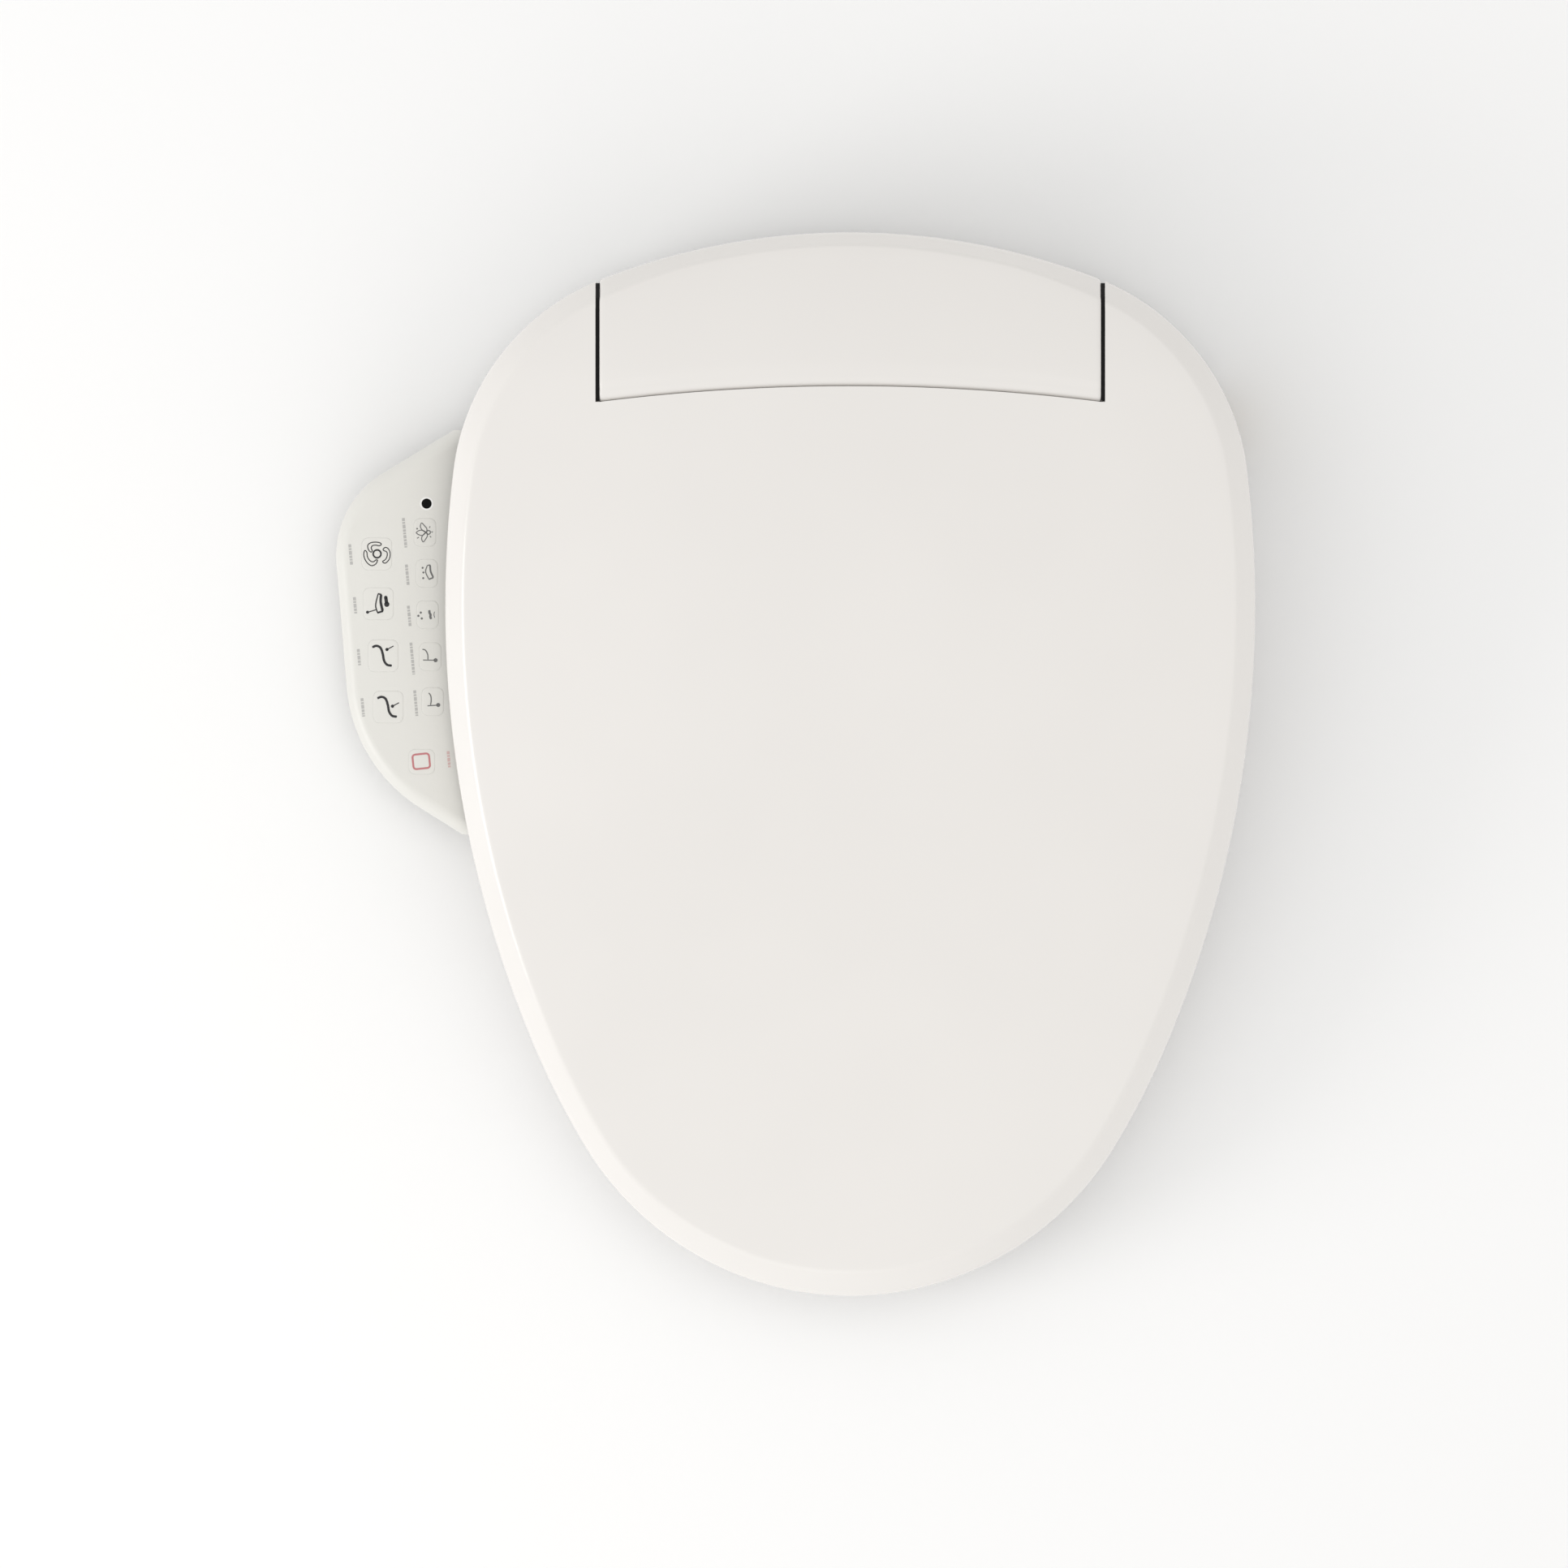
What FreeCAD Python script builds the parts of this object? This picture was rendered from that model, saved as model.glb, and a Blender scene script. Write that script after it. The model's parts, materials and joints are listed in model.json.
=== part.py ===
"""Electric bidet seat: lid, heated seat ring, rear housing with its works, control panel and
quick-release mounting plate.

Frame: the origin is midway between the two deck bolts, on the deck plane. +Z is up, -Y is the
nose of the seat, and the control panel is on the -X side. Millimetres and degrees.
"""
import FreeCAD
import Part
import Sketcher
import math
import os

from FreeCAD import Placement, Rotation, Vector

SHEET_VALUES = {
    # plan outline of the lid and rear cover: a chain of tangent arcs from the rear centre line
    "rear_edge_y": 47.0,
    "rear_radius": 339.1, "rear_turn": 21.02,
    "corner_radius": 116.4, "corner_turn": 62.06,
    "side_radius": 558.4, "side_turn": 29.84,
    "flank_radius": 382.3, "flank_turn": 8.22,
    # crowned top of the lid and rear cover
    "hump_height": 127.0, "hump_y": -20.0, "nose_height": 55.0, "nose_y": -477.0,
    "fall_power": 1.3, "crown_drop": 9.0, "crown_half_width": 200.0, "rear_fall": 0.0015,
    "bevel_size": 9.0, "inner_bevel": 7.2, "lid_wall": 3.0, "cover_wall": 2.5,
    # the seam and the slits that part the lid from the rear cover
    "slit_inner": 123.4, "slit_outer": 125.4, "seam_centre_y": -28.8, "seam_end_y": -36.5,
    "seam_gap": 0.5, "seam_round": 4.0, "lip_depth": 10.0, "lip_width": 2.5,
    # hinge line
    "hinge_y": 3.0, "hinge_z": 100.0, "pin_radius": 4.5, "running_gap": 0.05,
    "seat_boss_radius": 10.0, "seat_boss_inner": 127.0, "seat_boss_outer": 134.0,
    "lid_boss_radius": 8.0, "lid_boss_inner": 136.0, "lid_boss_outer": 146.0,
    "damper_radius": 10.0, "damper_inner": 92.0, "damper_outer": 118.0,
    "bush_radius": 7.0, "bush_inner": 118.5, "bush_outer": 125.8,
    # housing
    "housing_bottom": 8.0, "housing_split": 72.0, "housing_front_y": -66.5, "front_top_z": 60.0,
    "slope_top_z": 108.0, "slope_top_y": -37.0, "shoulder_y": -15.0, "shoulder_front_z": 37.0,
    "chassis_inset": 2.0, "chassis_wall": 2.5, "column_radius": 4.5,
    "screw_radius": 1.6, "screw_head_radius": 3.4,
    # release button in the +X shoulder, and the gap round it
    "button_y0": -28.0, "button_y1": -10.0, "button_z0": 16.0, "button_z1": 30.0, "button_gap": 0.3,
    # seat ring
    "ring_inset": 8.0, "ring_rear_y": -72.0, "ring_bottom": 12.0, "ring_rear_top": 50.0,
    "ring_front_top": 43.0, "ring_wall": 3.0, "ring_seam_drop": 14.0, "ring_round": 11.0,
    "opening_half_width": 105.0, "opening_half_length": 135.0, "opening_y": -250.0,
    "arch_half_width": 45.0, "ring_front_drop": 0.7, "film_thickness": 0.8,
    # control panel
    "panel_inset": 5.0, "panel_bottom": 12.0, "panel_split": 38.0, "panel_top": 55.0,
    "panel_wall": 2.5, "panel_round": 7.0,
    # wand and its drive
    "wand_tilt": 12.5, "wand_tip_y": -64.0, "wand_tip_z": 24.5, "wand_radius": 6.5,
    "wand_length": 95.0, "wand_bore": 3.5, "pinion_distance": 22.0, "pinion_offset": 14.9,
    "tooth_pitch": 3.6, "pinion_teeth": 10,
    # blower
    "blower_y": 8.0, "blower_z": 50.0, "blower_radius": 30.0, "blower_x0": 18.0, "blower_x1": 44.0,
    # mounting plate
    "plate_half_width": 150.0, "plate_thickness": 5.5,
    "plate_front_y": -50.0, "plate_wide_y": -2.0, "plate_rear_y": 27.0,
    "bolt_half_spacing": 70.0, "slot_half_width": 5.5, "slot_length": 30.0,
    "rail_inner": 145.0, "rail_outer": 150.4, "rail_wall": 3.0, "rail_gap": 0.4,
}

doc = FreeCAD.newDocument("bidet_seat")
sheet = doc.addObject("Spreadsheet::Sheet", "Sizes")
for row, (alias, number) in enumerate(SHEET_VALUES.items(), start=1):
    sheet.set("A%d" % row, alias.replace("_", " "))
    sheet.set("B%d" % row, str(number))
    sheet.setAlias("B%d" % row, alias)
doc.recompute()

FINISHED = []

# planes clear of the object on every side, for shapes that cut it or share with it
WIDE = 260
AHEAD = -520
BEHIND = 80
OVERHEAD = 200


def mm(alias):
    """The number in the sheet's named cell."""
    return float(sheet.get(alias))


def bound(text):
    """The text with each alias written as a reference to the sheet."""
    words = str(text).replace("(", " ( ").replace(")", " ) ").split()
    return " ".join("Sizes." + word if word in SHEET_VALUES else word for word in words)


def number(text):
    """What a text of aliases and numbers is worth."""
    words = str(text).replace("(", " ( ").replace(")", " ) ").split()
    plain = " ".join(repr(mm(word)) if word in SHEET_VALUES else word for word in words)
    return FreeCAD.Units.Quantity(plain).Value


def keep(label, item):
    """Names a finished piece and puts it on the list that is written out."""
    item.Label = label
    FINISHED.append((label, item))
    return item


def solid(label, shape, place=None):
    """A finished piece whose shape is made in code."""
    item = doc.addObject("Part::Feature", label)
    item.Shape = shape
    item.Placement = place or Placement()
    return keep(label, item)


# ---------------------------------------------------------------- Part primitives

AXIS_TURN = {
    "X": Rotation(Vector(0, 1, 0), 90),
    "Y": Rotation(Vector(1, 0, 0), -90),
    "Z": Rotation(),
}


def block(name, x0, x1, y0, y1, z0, z1):
    """A Part::Box between two corners, all six given as numbers or sheet names."""
    item = doc.addObject("Part::Box", name)
    for prop, low, high in (("Length", x0, x1), ("Width", y0, y1), ("Height", z0, z1)):
        item.setExpression(prop, bound("( %s ) - ( %s )" % (high, low)))
    for prop, low in (("x", x0), ("y", y0), ("z", z0)):
        item.setExpression("Placement.Base." + prop, bound(low))
    return item


def rod(name, axis, radius, start, end, across, up):
    """A Part::Cylinder along an axis. across and up are its centre on the other two axes."""
    item = doc.addObject("Part::Cylinder", name)
    item.setExpression("Radius", bound(radius))
    item.setExpression("Height", bound("( %s ) - ( %s )" % (end, start)))
    item.Placement = Placement(Vector(), AXIS_TURN[axis])
    order = {"X": (start, across, up), "Y": (across, start, up), "Z": (across, up, start)}[axis]
    for prop, value in zip("xyz", order):
        item.setExpression("Placement.Base." + prop, bound(value))
    return item


def fused(name, items):
    item = doc.addObject("Part::MultiFuse", name)
    item.Shapes = items
    item.Refine = True
    return item


def cut(name, base, tools):
    item = doc.addObject("Part::Cut", name)
    item.Base = base
    item.Tool = tools[0] if len(tools) == 1 else fused(name + "_tools", tools)
    return item


def shape_box(x0, x1, y0, y1, z0, z1):
    return Part.makeBox(x1 - x0, y1 - y0, z1 - z0, Vector(x0, y0, z0))


def shape_rod(axis, radius, start, end, across, up):
    base = {"X": Vector(start, across, up), "Y": Vector(across, start, up),
            "Z": Vector(across, up, start)}[axis]
    way = {"X": Vector(1, 0, 0), "Y": Vector(0, 1, 0), "Z": Vector(0, 0, 1)}[axis]
    return Part.makeCylinder(radius, end - start, base, way)


# ---------------------------------------------------------------- PartDesign bodies

def body(label):
    item = doc.addObject("PartDesign::Body", label)
    return keep(label, item)


def sketch(item, role, name, offset="0"):
    """A sketch on one of the body's own origin planes, moved along the plane's normal."""
    drawing = item.newObject("Sketcher::SketchObject", name)
    plane = next(part for part in item.Origin.OriginFeatures if part.Role == role)
    drawing.AttachmentSupport = [(plane, "")]
    drawing.MapMode = "FlatFace"
    drawing.setExpression("AttachmentOffset.Base.z", bound(offset))
    return drawing


def pin_down(drawing, geometry, point, across, up):
    """Ties a point to the sketch's origin by two bound distances."""
    for kind, text in (("DistanceX", across), ("DistanceY", up)):
        index = drawing.addConstraint(Sketcher.Constraint(kind, -1, 1, geometry, point, number(text)))
        drawing.setExpression("Constraints[%d]" % index, bound(text))


def circle(drawing, across, up, radius):
    centre = Vector(number(across), number(up), 0)
    index = drawing.addGeometry(Part.Circle(centre, Vector(0, 0, 1), number(radius)))
    pin_down(drawing, index, 3, across, up)
    tie = drawing.addConstraint(Sketcher.Constraint("Radius", index, number(radius)))
    drawing.setExpression("Constraints[%d]" % tie, bound(radius))


def polygon(drawing, corners):
    """A closed outline of straight lines, each corner tied down."""
    spots = [Vector(number(a), number(b), 0) for a, b in corners]
    lines = [drawing.addGeometry(Part.LineSegment(spots[i], spots[(i + 1) % len(spots)]))
             for i in range(len(spots))]
    for i, line in enumerate(lines):
        drawing.addConstraint(Sketcher.Constraint("Coincident", line, 2, lines[(i + 1) % len(lines)], 1))
        pin_down(drawing, line, 1, corners[i][0], corners[i][1])


def rectangle(drawing, a0, a1, b0, b1):
    polygon(drawing, [(a0, b0), (a1, b0), (a1, b1), (a0, b1)])


def pad(item, drawing, length, back=False):
    feature = item.newObject("PartDesign::Pad", drawing.Name + "_pad")
    feature.Profile = drawing
    feature.setExpression("Length", bound(length))
    feature.Reversed = back
    return feature


def pocket(item, drawing, length, back=False):
    """Cuts the sketch out of the body, and says so if nothing was cut."""
    doc.recompute()
    before = item.Shape.Volume
    feature = item.newObject("PartDesign::Pocket", drawing.Name + "_pocket")
    feature.Profile = drawing
    feature.setExpression("Length", bound(length))
    feature.Reversed = back
    doc.recompute()
    if item.Shape.Volume > before - 0.01:
        raise RuntimeError("pocket cuts nothing: " + drawing.Name)
    return feature


def turned(item, drawing, axis):
    """A full revolution about the sketch's own H_Axis or V_Axis."""
    feature = item.newObject("PartDesign::Revolution", drawing.Name + "_turn")
    feature.Profile = drawing
    feature.ReferenceAxis = (drawing, [axis])
    feature.Angle = 360
    return feature


# ---------------------------------------------------------------- outlines and surfaces

def hood_arcs(inset):
    """Centres, radii and angles of the right half's arcs, moved in by inset.

    Every arc keeps its centre, so the inset outline is exactly parallel. The nose arc is centred
    on the middle line and closes the outline.
    """
    chain = [(mm(part + "_radius"), math.radians(mm(part + "_turn")))
             for part in ("rear", "corner", "side", "flank")]
    arcs = []
    angle = math.pi / 2
    joint = Vector(0, mm("rear_edge_y"), 0)
    for radius, turn in chain:
        normal = Vector(math.cos(angle), math.sin(angle), 0)
        centre = joint - normal * radius
        arcs.append((centre, radius - inset, angle, angle - turn))
        angle -= turn
        joint = centre + Vector(math.cos(angle), math.sin(angle), 0) * radius
    nose_radius = joint.x / math.cos(angle)
    centre = joint - Vector(math.cos(angle), math.sin(angle), 0) * nose_radius
    arcs.append((centre, nose_radius - inset, angle, -math.pi / 2))
    return arcs


def hood_wire(inset):
    """The closed plan outline of lid and rear cover, at z = 0."""
    right = []
    for centre, radius, start, end in hood_arcs(inset):
        right.append([centre + Vector(math.cos(angle), math.sin(angle), 0) * radius
                      for angle in (start, (start + end) / 2, end)])
    edges = [Part.Arc(*spots).toShape() for spots in right]
    for spots in reversed(right):
        mirrored = [Vector(-p.x, p.y, 0) for p in reversed(spots)]
        edges.append(Part.Arc(*mirrored).toShape())
    return Part.Wire(edges)


def hood_prism(inset, bottom, top):
    face = Part.Face(hood_wire(inset))
    face.translate(Vector(0, 0, bottom))
    return face.extrude(Vector(0, 0, top - bottom))


def hood_top(x, y):
    """Height of the crowned top over a point of the plan."""
    drop = mm("crown_drop") * (x / mm("crown_half_width")) ** 2
    if y > mm("hump_y"):
        return mm("hump_height") - drop - mm("rear_fall") * (y - mm("hump_y")) ** 2
    part = (mm("hump_y") - y) / (mm("hump_y") - mm("nose_y"))
    fall = (mm("hump_height") - mm("nose_height")) * part ** mm("fall_power")
    return mm("hump_height") - drop - fall


def under_surface(height, x_range, y_range, counts, bottom):
    """The solid below a height function, down to a level. counts are the grid's points each way."""
    grid = []
    for i in range(counts[0]):
        x = x_range[0] + (x_range[1] - x_range[0]) * i / (counts[0] - 1)
        line = []
        for j in range(counts[1]):
            y = y_range[0] + (y_range[1] - y_range[0]) * j / (counts[1] - 1)
            line.append(Vector(x, y, height(x, y)))
        grid.append(line)
    surface = Part.BSplineSurface()
    surface.interpolate(grid)
    deep = surface.toShape().extrude(Vector(0, 0, -400))
    return deep.common(shape_box(x_range[0], x_range[1], y_range[0], y_range[1], bottom, 300))


def hood_solid(inset, lowered, bevel):
    """The full hood: outline prism under the crowned top, with its top edge bevelled."""
    below = under_surface(lambda x, y: hood_top(x, y) - lowered, (-215, 215), (-495, 65), (9, 27), 0)
    shape = below.common(hood_prism(inset, 0, OVERHEAD))
    top = max(shape.Faces, key=lambda face: face.CenterOfMass.z)
    return shape.makeChamfer(bevel, top.Edges)


def profile_prism(points, x0, x1):
    """A solid along X whose side view is a polygon of (y, z) points."""
    wire = Part.makePolygon([Vector(x0, y, z) for y, z in points + points[:1]])
    return Part.Face(wire).extrude(Vector(x1 - x0, 0, 0))


def seam_prism(forward, half_width, bottom, top):
    """Everything behind the seam arc, moved forward by the given distance."""
    centre_y = mm("seam_centre_y") - forward
    end_y = mm("seam_end_y") - forward
    front = Part.Arc(Vector(-mm("slit_inner"), end_y, bottom), Vector(0, centre_y, bottom),
                     Vector(mm("slit_inner"), end_y, bottom)).toShape()
    corners = [Vector(mm("slit_inner"), end_y, bottom), Vector(half_width, end_y, bottom),
               Vector(half_width, BEHIND, bottom), Vector(-half_width, BEHIND, bottom),
               Vector(-half_width, end_y, bottom), Vector(-mm("slit_inner"), end_y, bottom)]
    clean = [p for i, p in enumerate(corners) if i == 0 or (p - corners[i - 1]).Length > 0.001]
    wire = Part.Wire([front] + Part.makePolygon(clean).Edges)
    return Part.Face(Part.Wire(Part.__sortEdges__(wire.Edges))).extrude(Vector(0, 0, top - bottom))


def rounded_outline(corners, radii, inset, z):
    """A closed polygon of straight lines with rounded corners, moved in by inset.

    Corners run clockwise seen from above, so the inside is on the right of each line.
    """
    count = len(corners)
    moved = []
    for i in range(count):
        here = corners[i]
        before = (here - corners[i - 1]).normalize()
        after = (corners[(i + 1) % count] - here).normalize()
        in_before = Vector(before.y, -before.x, 0)
        in_after = Vector(after.y, -after.x, 0)
        bisector = in_before + in_after
        moved.append(here + bisector * (inset / bisector.dot(in_before)))
    edges = []
    ends = []
    for i in range(count):
        here = moved[i]
        before = (here - moved[i - 1]).normalize()
        after = (moved[(i + 1) % count] - here).normalize()
        radius = max(radii[i] - inset, 0) if radii[i] else 0
        half_turn = before.getAngle(after) / 2
        reach = radius * math.tan(half_turn)
        start = here - before * reach
        end = here + after * reach
        if radius:
            inward = (after - before).normalize()
            middle = here + inward * (radius / math.cos(half_turn) - radius)
            edges.append(Part.Arc(start, middle, end).toShape())
        ends.append((start, end))
    for i in range(count):
        start = ends[i - 1][1]
        end = ends[i][0]
        edges.append(Part.LineSegment(start, end).toShape())
    wire = Part.Wire(Part.__sortEdges__(edges))
    wire.translate(Vector(0, 0, z))
    return wire


def tube(points, radius, bend):
    """A round bar along straight runs joined by tangent arcs, with its volume checked."""
    edges = []
    last = points[0]
    for before, here, after in zip(points, points[1:], points[2:]):
        come = (here - before).normalize()
        leave = (after - here).normalize()
        half_turn = come.getAngle(leave) / 2
        reach = bend * math.tan(half_turn)
        start = here - come * reach
        end = here + leave * reach
        middle = here + (leave - come).normalize() * (bend / math.cos(half_turn) - bend)
        edges.append(Part.LineSegment(last, start).toShape())
        edges.append(Part.Arc(start, middle, end).toShape())
        last = end
    edges.append(Part.LineSegment(last, points[-1]).toShape())
    path = Part.Wire(edges)
    ring = Part.Wire(Part.Circle(points[0], points[1] - points[0], radius).toShape())
    bar = path.makePipeShell([ring], True, False)
    expected = math.pi * radius ** 2 * path.Length
    if abs(bar.Volume - expected) > 0.02 * expected:
        raise RuntimeError("a tube's volume is not its section times its length")
    return bar


# ---------------------------------------------------------------- hood: lid and rear cover

HINGE_Y = mm("hinge_y")
HINGE_Z = mm("hinge_z")
OUTER_HOOD = hood_solid(0, 0, mm("bevel_size"))
INNER_HOOD = hood_solid(mm("lid_wall"), mm("lid_wall"), mm("inner_bevel"))


def make_lid():
    """The lid shell with its arms beside the rear cover, slit lips and hinge bosses."""
    gap = mm("seam_gap")
    shell = OUTER_HOOD.cut(INNER_HOOD)
    shell = shell.cut(seam_prism(gap, mm("slit_outer"), 0, OVERHEAD))
    lowered = OUTER_HOOD.copy()
    lowered.translate(Vector(0, 0, -mm("lip_depth")))
    slit = mm("slit_outer")
    for side in (-1, 1):
        ends = sorted((side * slit, side * (slit + mm("lip_width"))))
        lip = shape_box(ends[0], ends[1], mm("seam_end_y") - gap, BEHIND, 60, OVERHEAD)
        shell = shell.fuse(OUTER_HOOD.common(lip).cut(lowered))
    # what is cut away below the rim, seen from the side
    below_rim = [(AHEAD, 20), (-250, 50), (-47, 64), (5, 88), (BEHIND, 88), (BEHIND, -20), (AHEAD, -20)]
    shell = shell.cut(profile_prism(below_rim, -WIDE, WIDE))
    for side in (-1, 1):
        ends = sorted((side * mm("lid_boss_inner"), side * mm("lid_boss_outer")))
        boss = shape_rod("X", mm("lid_boss_radius"), ends[0], ends[1], HINGE_Y, HINGE_Z)
        web = shape_box(ends[0] + 2, ends[1] - 2, HINGE_Y - 5, HINGE_Y + 5, HINGE_Z, 150)
        shell = shell.fuse(boss).fuse(web.common(OUTER_HOOD))
        bore = mm("pin_radius") + (mm("running_gap") if side > 0 else 0)
        shell = shell.cut(shape_rod("X", bore, ends[0] - 1, ends[1] + 1, HINGE_Y, HINGE_Z))
    return shell.removeSplitter()


def housing_solid(inset):
    """Outer or, with an inset, inner solid of the housing's centre, down to the chassis floor."""
    half = mm("slit_inner") - inset
    if inset:
        hood = hood_solid(mm("cover_wall"), mm("cover_wall"), mm("inner_bevel"))
    else:
        hood = OUTER_HOOD
    behind = seam_prism(-inset, mm("slit_inner"), 0, OVERHEAD)
    core = hood.common(behind).common(shape_box(-half, half, -80, BEHIND, 0, OVERHEAD))
    if not inset:
        seam_edges = [edge for edge in core.Edges
                      if edge.BoundBox.ZMin > 115 and edge.BoundBox.XLength > 200
                      and edge.BoundBox.YMax < mm("seam_centre_y") + 1]
        core = core.makeFillet(mm("seam_round"), seam_edges)
    front = mm("housing_front_y") + inset
    slope_top = mm("slope_top_z") - inset
    slope = [(front, mm("front_top_z") - 0.3 * inset), (mm("slope_top_y") + inset, slope_top),
             (0, slope_top), (0, 0), (front, 0)]
    return core.fuse(profile_prism(slope, -half, half))


HOUSING_OUT = housing_solid(0)
HOUSING_IN = housing_solid(mm("cover_wall"))
SCREW_SPOTS = [(x, y) for x in (-116.6, 116.6) for y in (-40, 18)]


def make_rear_cover():
    """The cover over the housing, with its screw columns and the holes for the hinge bushes."""
    split = mm("housing_split")
    above_split = shape_box(-130, 130, -80, BEHIND, split, OVERHEAD)
    shell = HOUSING_OUT.cut(HOUSING_IN).common(above_split)
    for x, y in SCREW_SPOTS:
        stem = shape_rod("Z", mm("column_radius"), split, split + 20, x, y)
        shell = shell.fuse(stem.common(HOUSING_OUT))
        shell = shell.cut(shape_rod("Z", mm("screw_radius"), split - 1, split + 14, x, y))
    for side in (-1, 1):
        ends = sorted((side * 118, side * 128))
        shell = shell.cut(shape_rod("X", mm("bush_radius"), ends[0], ends[1], HINGE_Y, HINGE_Z))
    return shell.removeSplitter()


def shoulder_cut(lowered):
    """What is cut away above the shoulders, outside the centre section."""
    split = mm("housing_split") - lowered
    rise = [(-120, mm("shoulder_front_z") - lowered - 36),
            (mm("housing_front_y"), mm("shoulder_front_z") - lowered),
            (mm("shoulder_y"), split), (BEHIND, split), (BEHIND, OVERHEAD), (-120, OVERHEAD)]
    half = mm("slit_inner")
    return profile_prism(rise, half, WIDE).fuse(profile_prism(rise, -WIDE, -half))


def make_base_chassis():
    """The housing's floor, walls, shoulders, bulkheads, damper towers, posts and rails."""
    floor = mm("housing_bottom")
    split = mm("housing_split")
    inset = mm("chassis_inset")
    wall = mm("chassis_wall")
    front = mm("housing_front_y")
    half = mm("slit_inner")
    centre = shape_box(-half, half, front, BEHIND, floor, split)
    outer = hood_prism(inset, floor, split).common(shape_box(-WIDE, WIDE, front, BEHIND, 0, OVERHEAD))
    outer = outer.cut(shoulder_cut(0))
    outer = outer.cut(centre.cut(HOUSING_OUT))
    inner = hood_prism(inset + wall, floor + wall, split + 5)
    inner = inner.common(shape_box(-WIDE, WIDE, front + wall, BEHIND, 0, OVERHEAD))
    inner = inner.cut(shoulder_cut(wall))
    core = shape_box(-half + wall, half - wall, front, BEHIND, floor, split + 5)
    inner_centre = inner.common(core).common(HOUSING_IN)
    sides = inner.common(shape_box(half, WIDE, -100, BEHIND, 0, OVERHEAD))
    sides = sides.fuse(inner.common(shape_box(-WIDE, -half, -100, BEHIND, 0, OVERHEAD)))
    chassis = outer.cut(inner_centre).cut(sides)
    # damper towers, board posts and screw columns
    base = floor + wall
    for side in (-1, 1):
        ends = sorted((side * 96, side * 116))
        tower = shape_box(ends[0], ends[1], HINGE_Y - 7, HINGE_Y + 7, base, HINGE_Z - 2)
        chassis = chassis.fuse(tower)
        ends = sorted((side * 90, side * 122))
        chassis = chassis.cut(shape_rod("X", mm("damper_radius"), ends[0], ends[1], HINGE_Y, HINGE_Z))
    for x, y in ((-90, -44), (-90, 25), (-33.5, -25), (-33.5, 12)):
        chassis = chassis.fuse(shape_rod("Z", 2.5, base, 66, x, y))
    for x, y in SCREW_SPOTS:
        column = shape_rod("Z", mm("column_radius"), base, split, x, y)
        if y < 0:
            column = column.common(shape_box(-130, 130, y - 5, y + 5, 0, 90))
        chassis = chassis.fuse(column)
        chassis = chassis.cut(shape_rod("Z", 3.6, floor - 1, split - 14, x, y))
        chassis = chassis.cut(shape_rod("Z", mm("screw_radius"), floor, split + 1, x, y))
    # recess for the water inlet in the +X shoulder
    recess = shape_box(157.5, 215, -63.5, -30.5, floor, 37)
    chassis = chassis.fuse(recess.common(outer))
    chassis = chassis.cut(shape_box(160, 215, -61, -33, floor - 1, 34.5))
    chassis = chassis.cut(shape_rod("X", 6, 155, 162, -47, 22))
    # openings: release button, cord gland, wand port, dryer outlet, pipes and the panel cable
    gap = mm("button_gap")
    chassis = chassis.cut(shape_box(160, 200, mm("button_y0") - gap, mm("button_y1") + gap,
                                    mm("button_z0") - gap, mm("button_z1") + gap))
    chassis = chassis.cut(shape_rod("Y", 8, 20, 50, 100, 24))
    chassis = chassis.cut(tilted(shape_rod("Y", 7, -8, 12, 0, 0)))
    chassis = chassis.cut(tilted(shape_box(-3.6, 3.6, -8, 12, 0, 10.6)))
    chassis = chassis.cut(shape_box(19.6, 42.4, -70, -62, 15.6, 31))
    for start in (18.9, 42):
        chassis = chassis.cut(shape_rod("X", 0.95, start, start + 1.2, -64.8, 29.2))
    chassis = chassis.cut(shape_rod("X", 3.6, 118, 126, -9, 15.4))
    chassis = chassis.cut(tube(PANEL_CABLE, 3.6, 12))
    # rails under the floor that hold the mounting plate's edges
    for side in (-1, 1):
        ends = sorted((side * mm("rail_outer"), side * (mm("rail_outer") + mm("rail_wall"))))
        rail = shape_box(ends[0], ends[1], -48, -4, 0.8, floor)
        ends = sorted((side * mm("rail_inner"), side * mm("rail_outer")))
        chassis = chassis.fuse(rail).fuse(shape_box(ends[0], ends[1], -48, -4, 0.8, 2.2))
    return chassis.removeSplitter()


# ---------------------------------------------------------------- wand and its drive

TILT = math.radians(mm("wand_tilt"))
WAND_TIP = Vector(0, mm("wand_tip_y"), mm("wand_tip_z"))
WAND_PLACE = Placement(WAND_TIP, Rotation(Vector(1, 0, 0), mm("wand_tilt")))


def tilted(shape):
    """A shape drawn along the wand's own line, put in its place in the housing."""
    copy = shape.copy()
    copy.Placement = WAND_PLACE.multiply(copy.Placement)
    return copy


def wand_spot(along, up):
    return WAND_PLACE.multVec(Vector(0, along, up))


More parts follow.
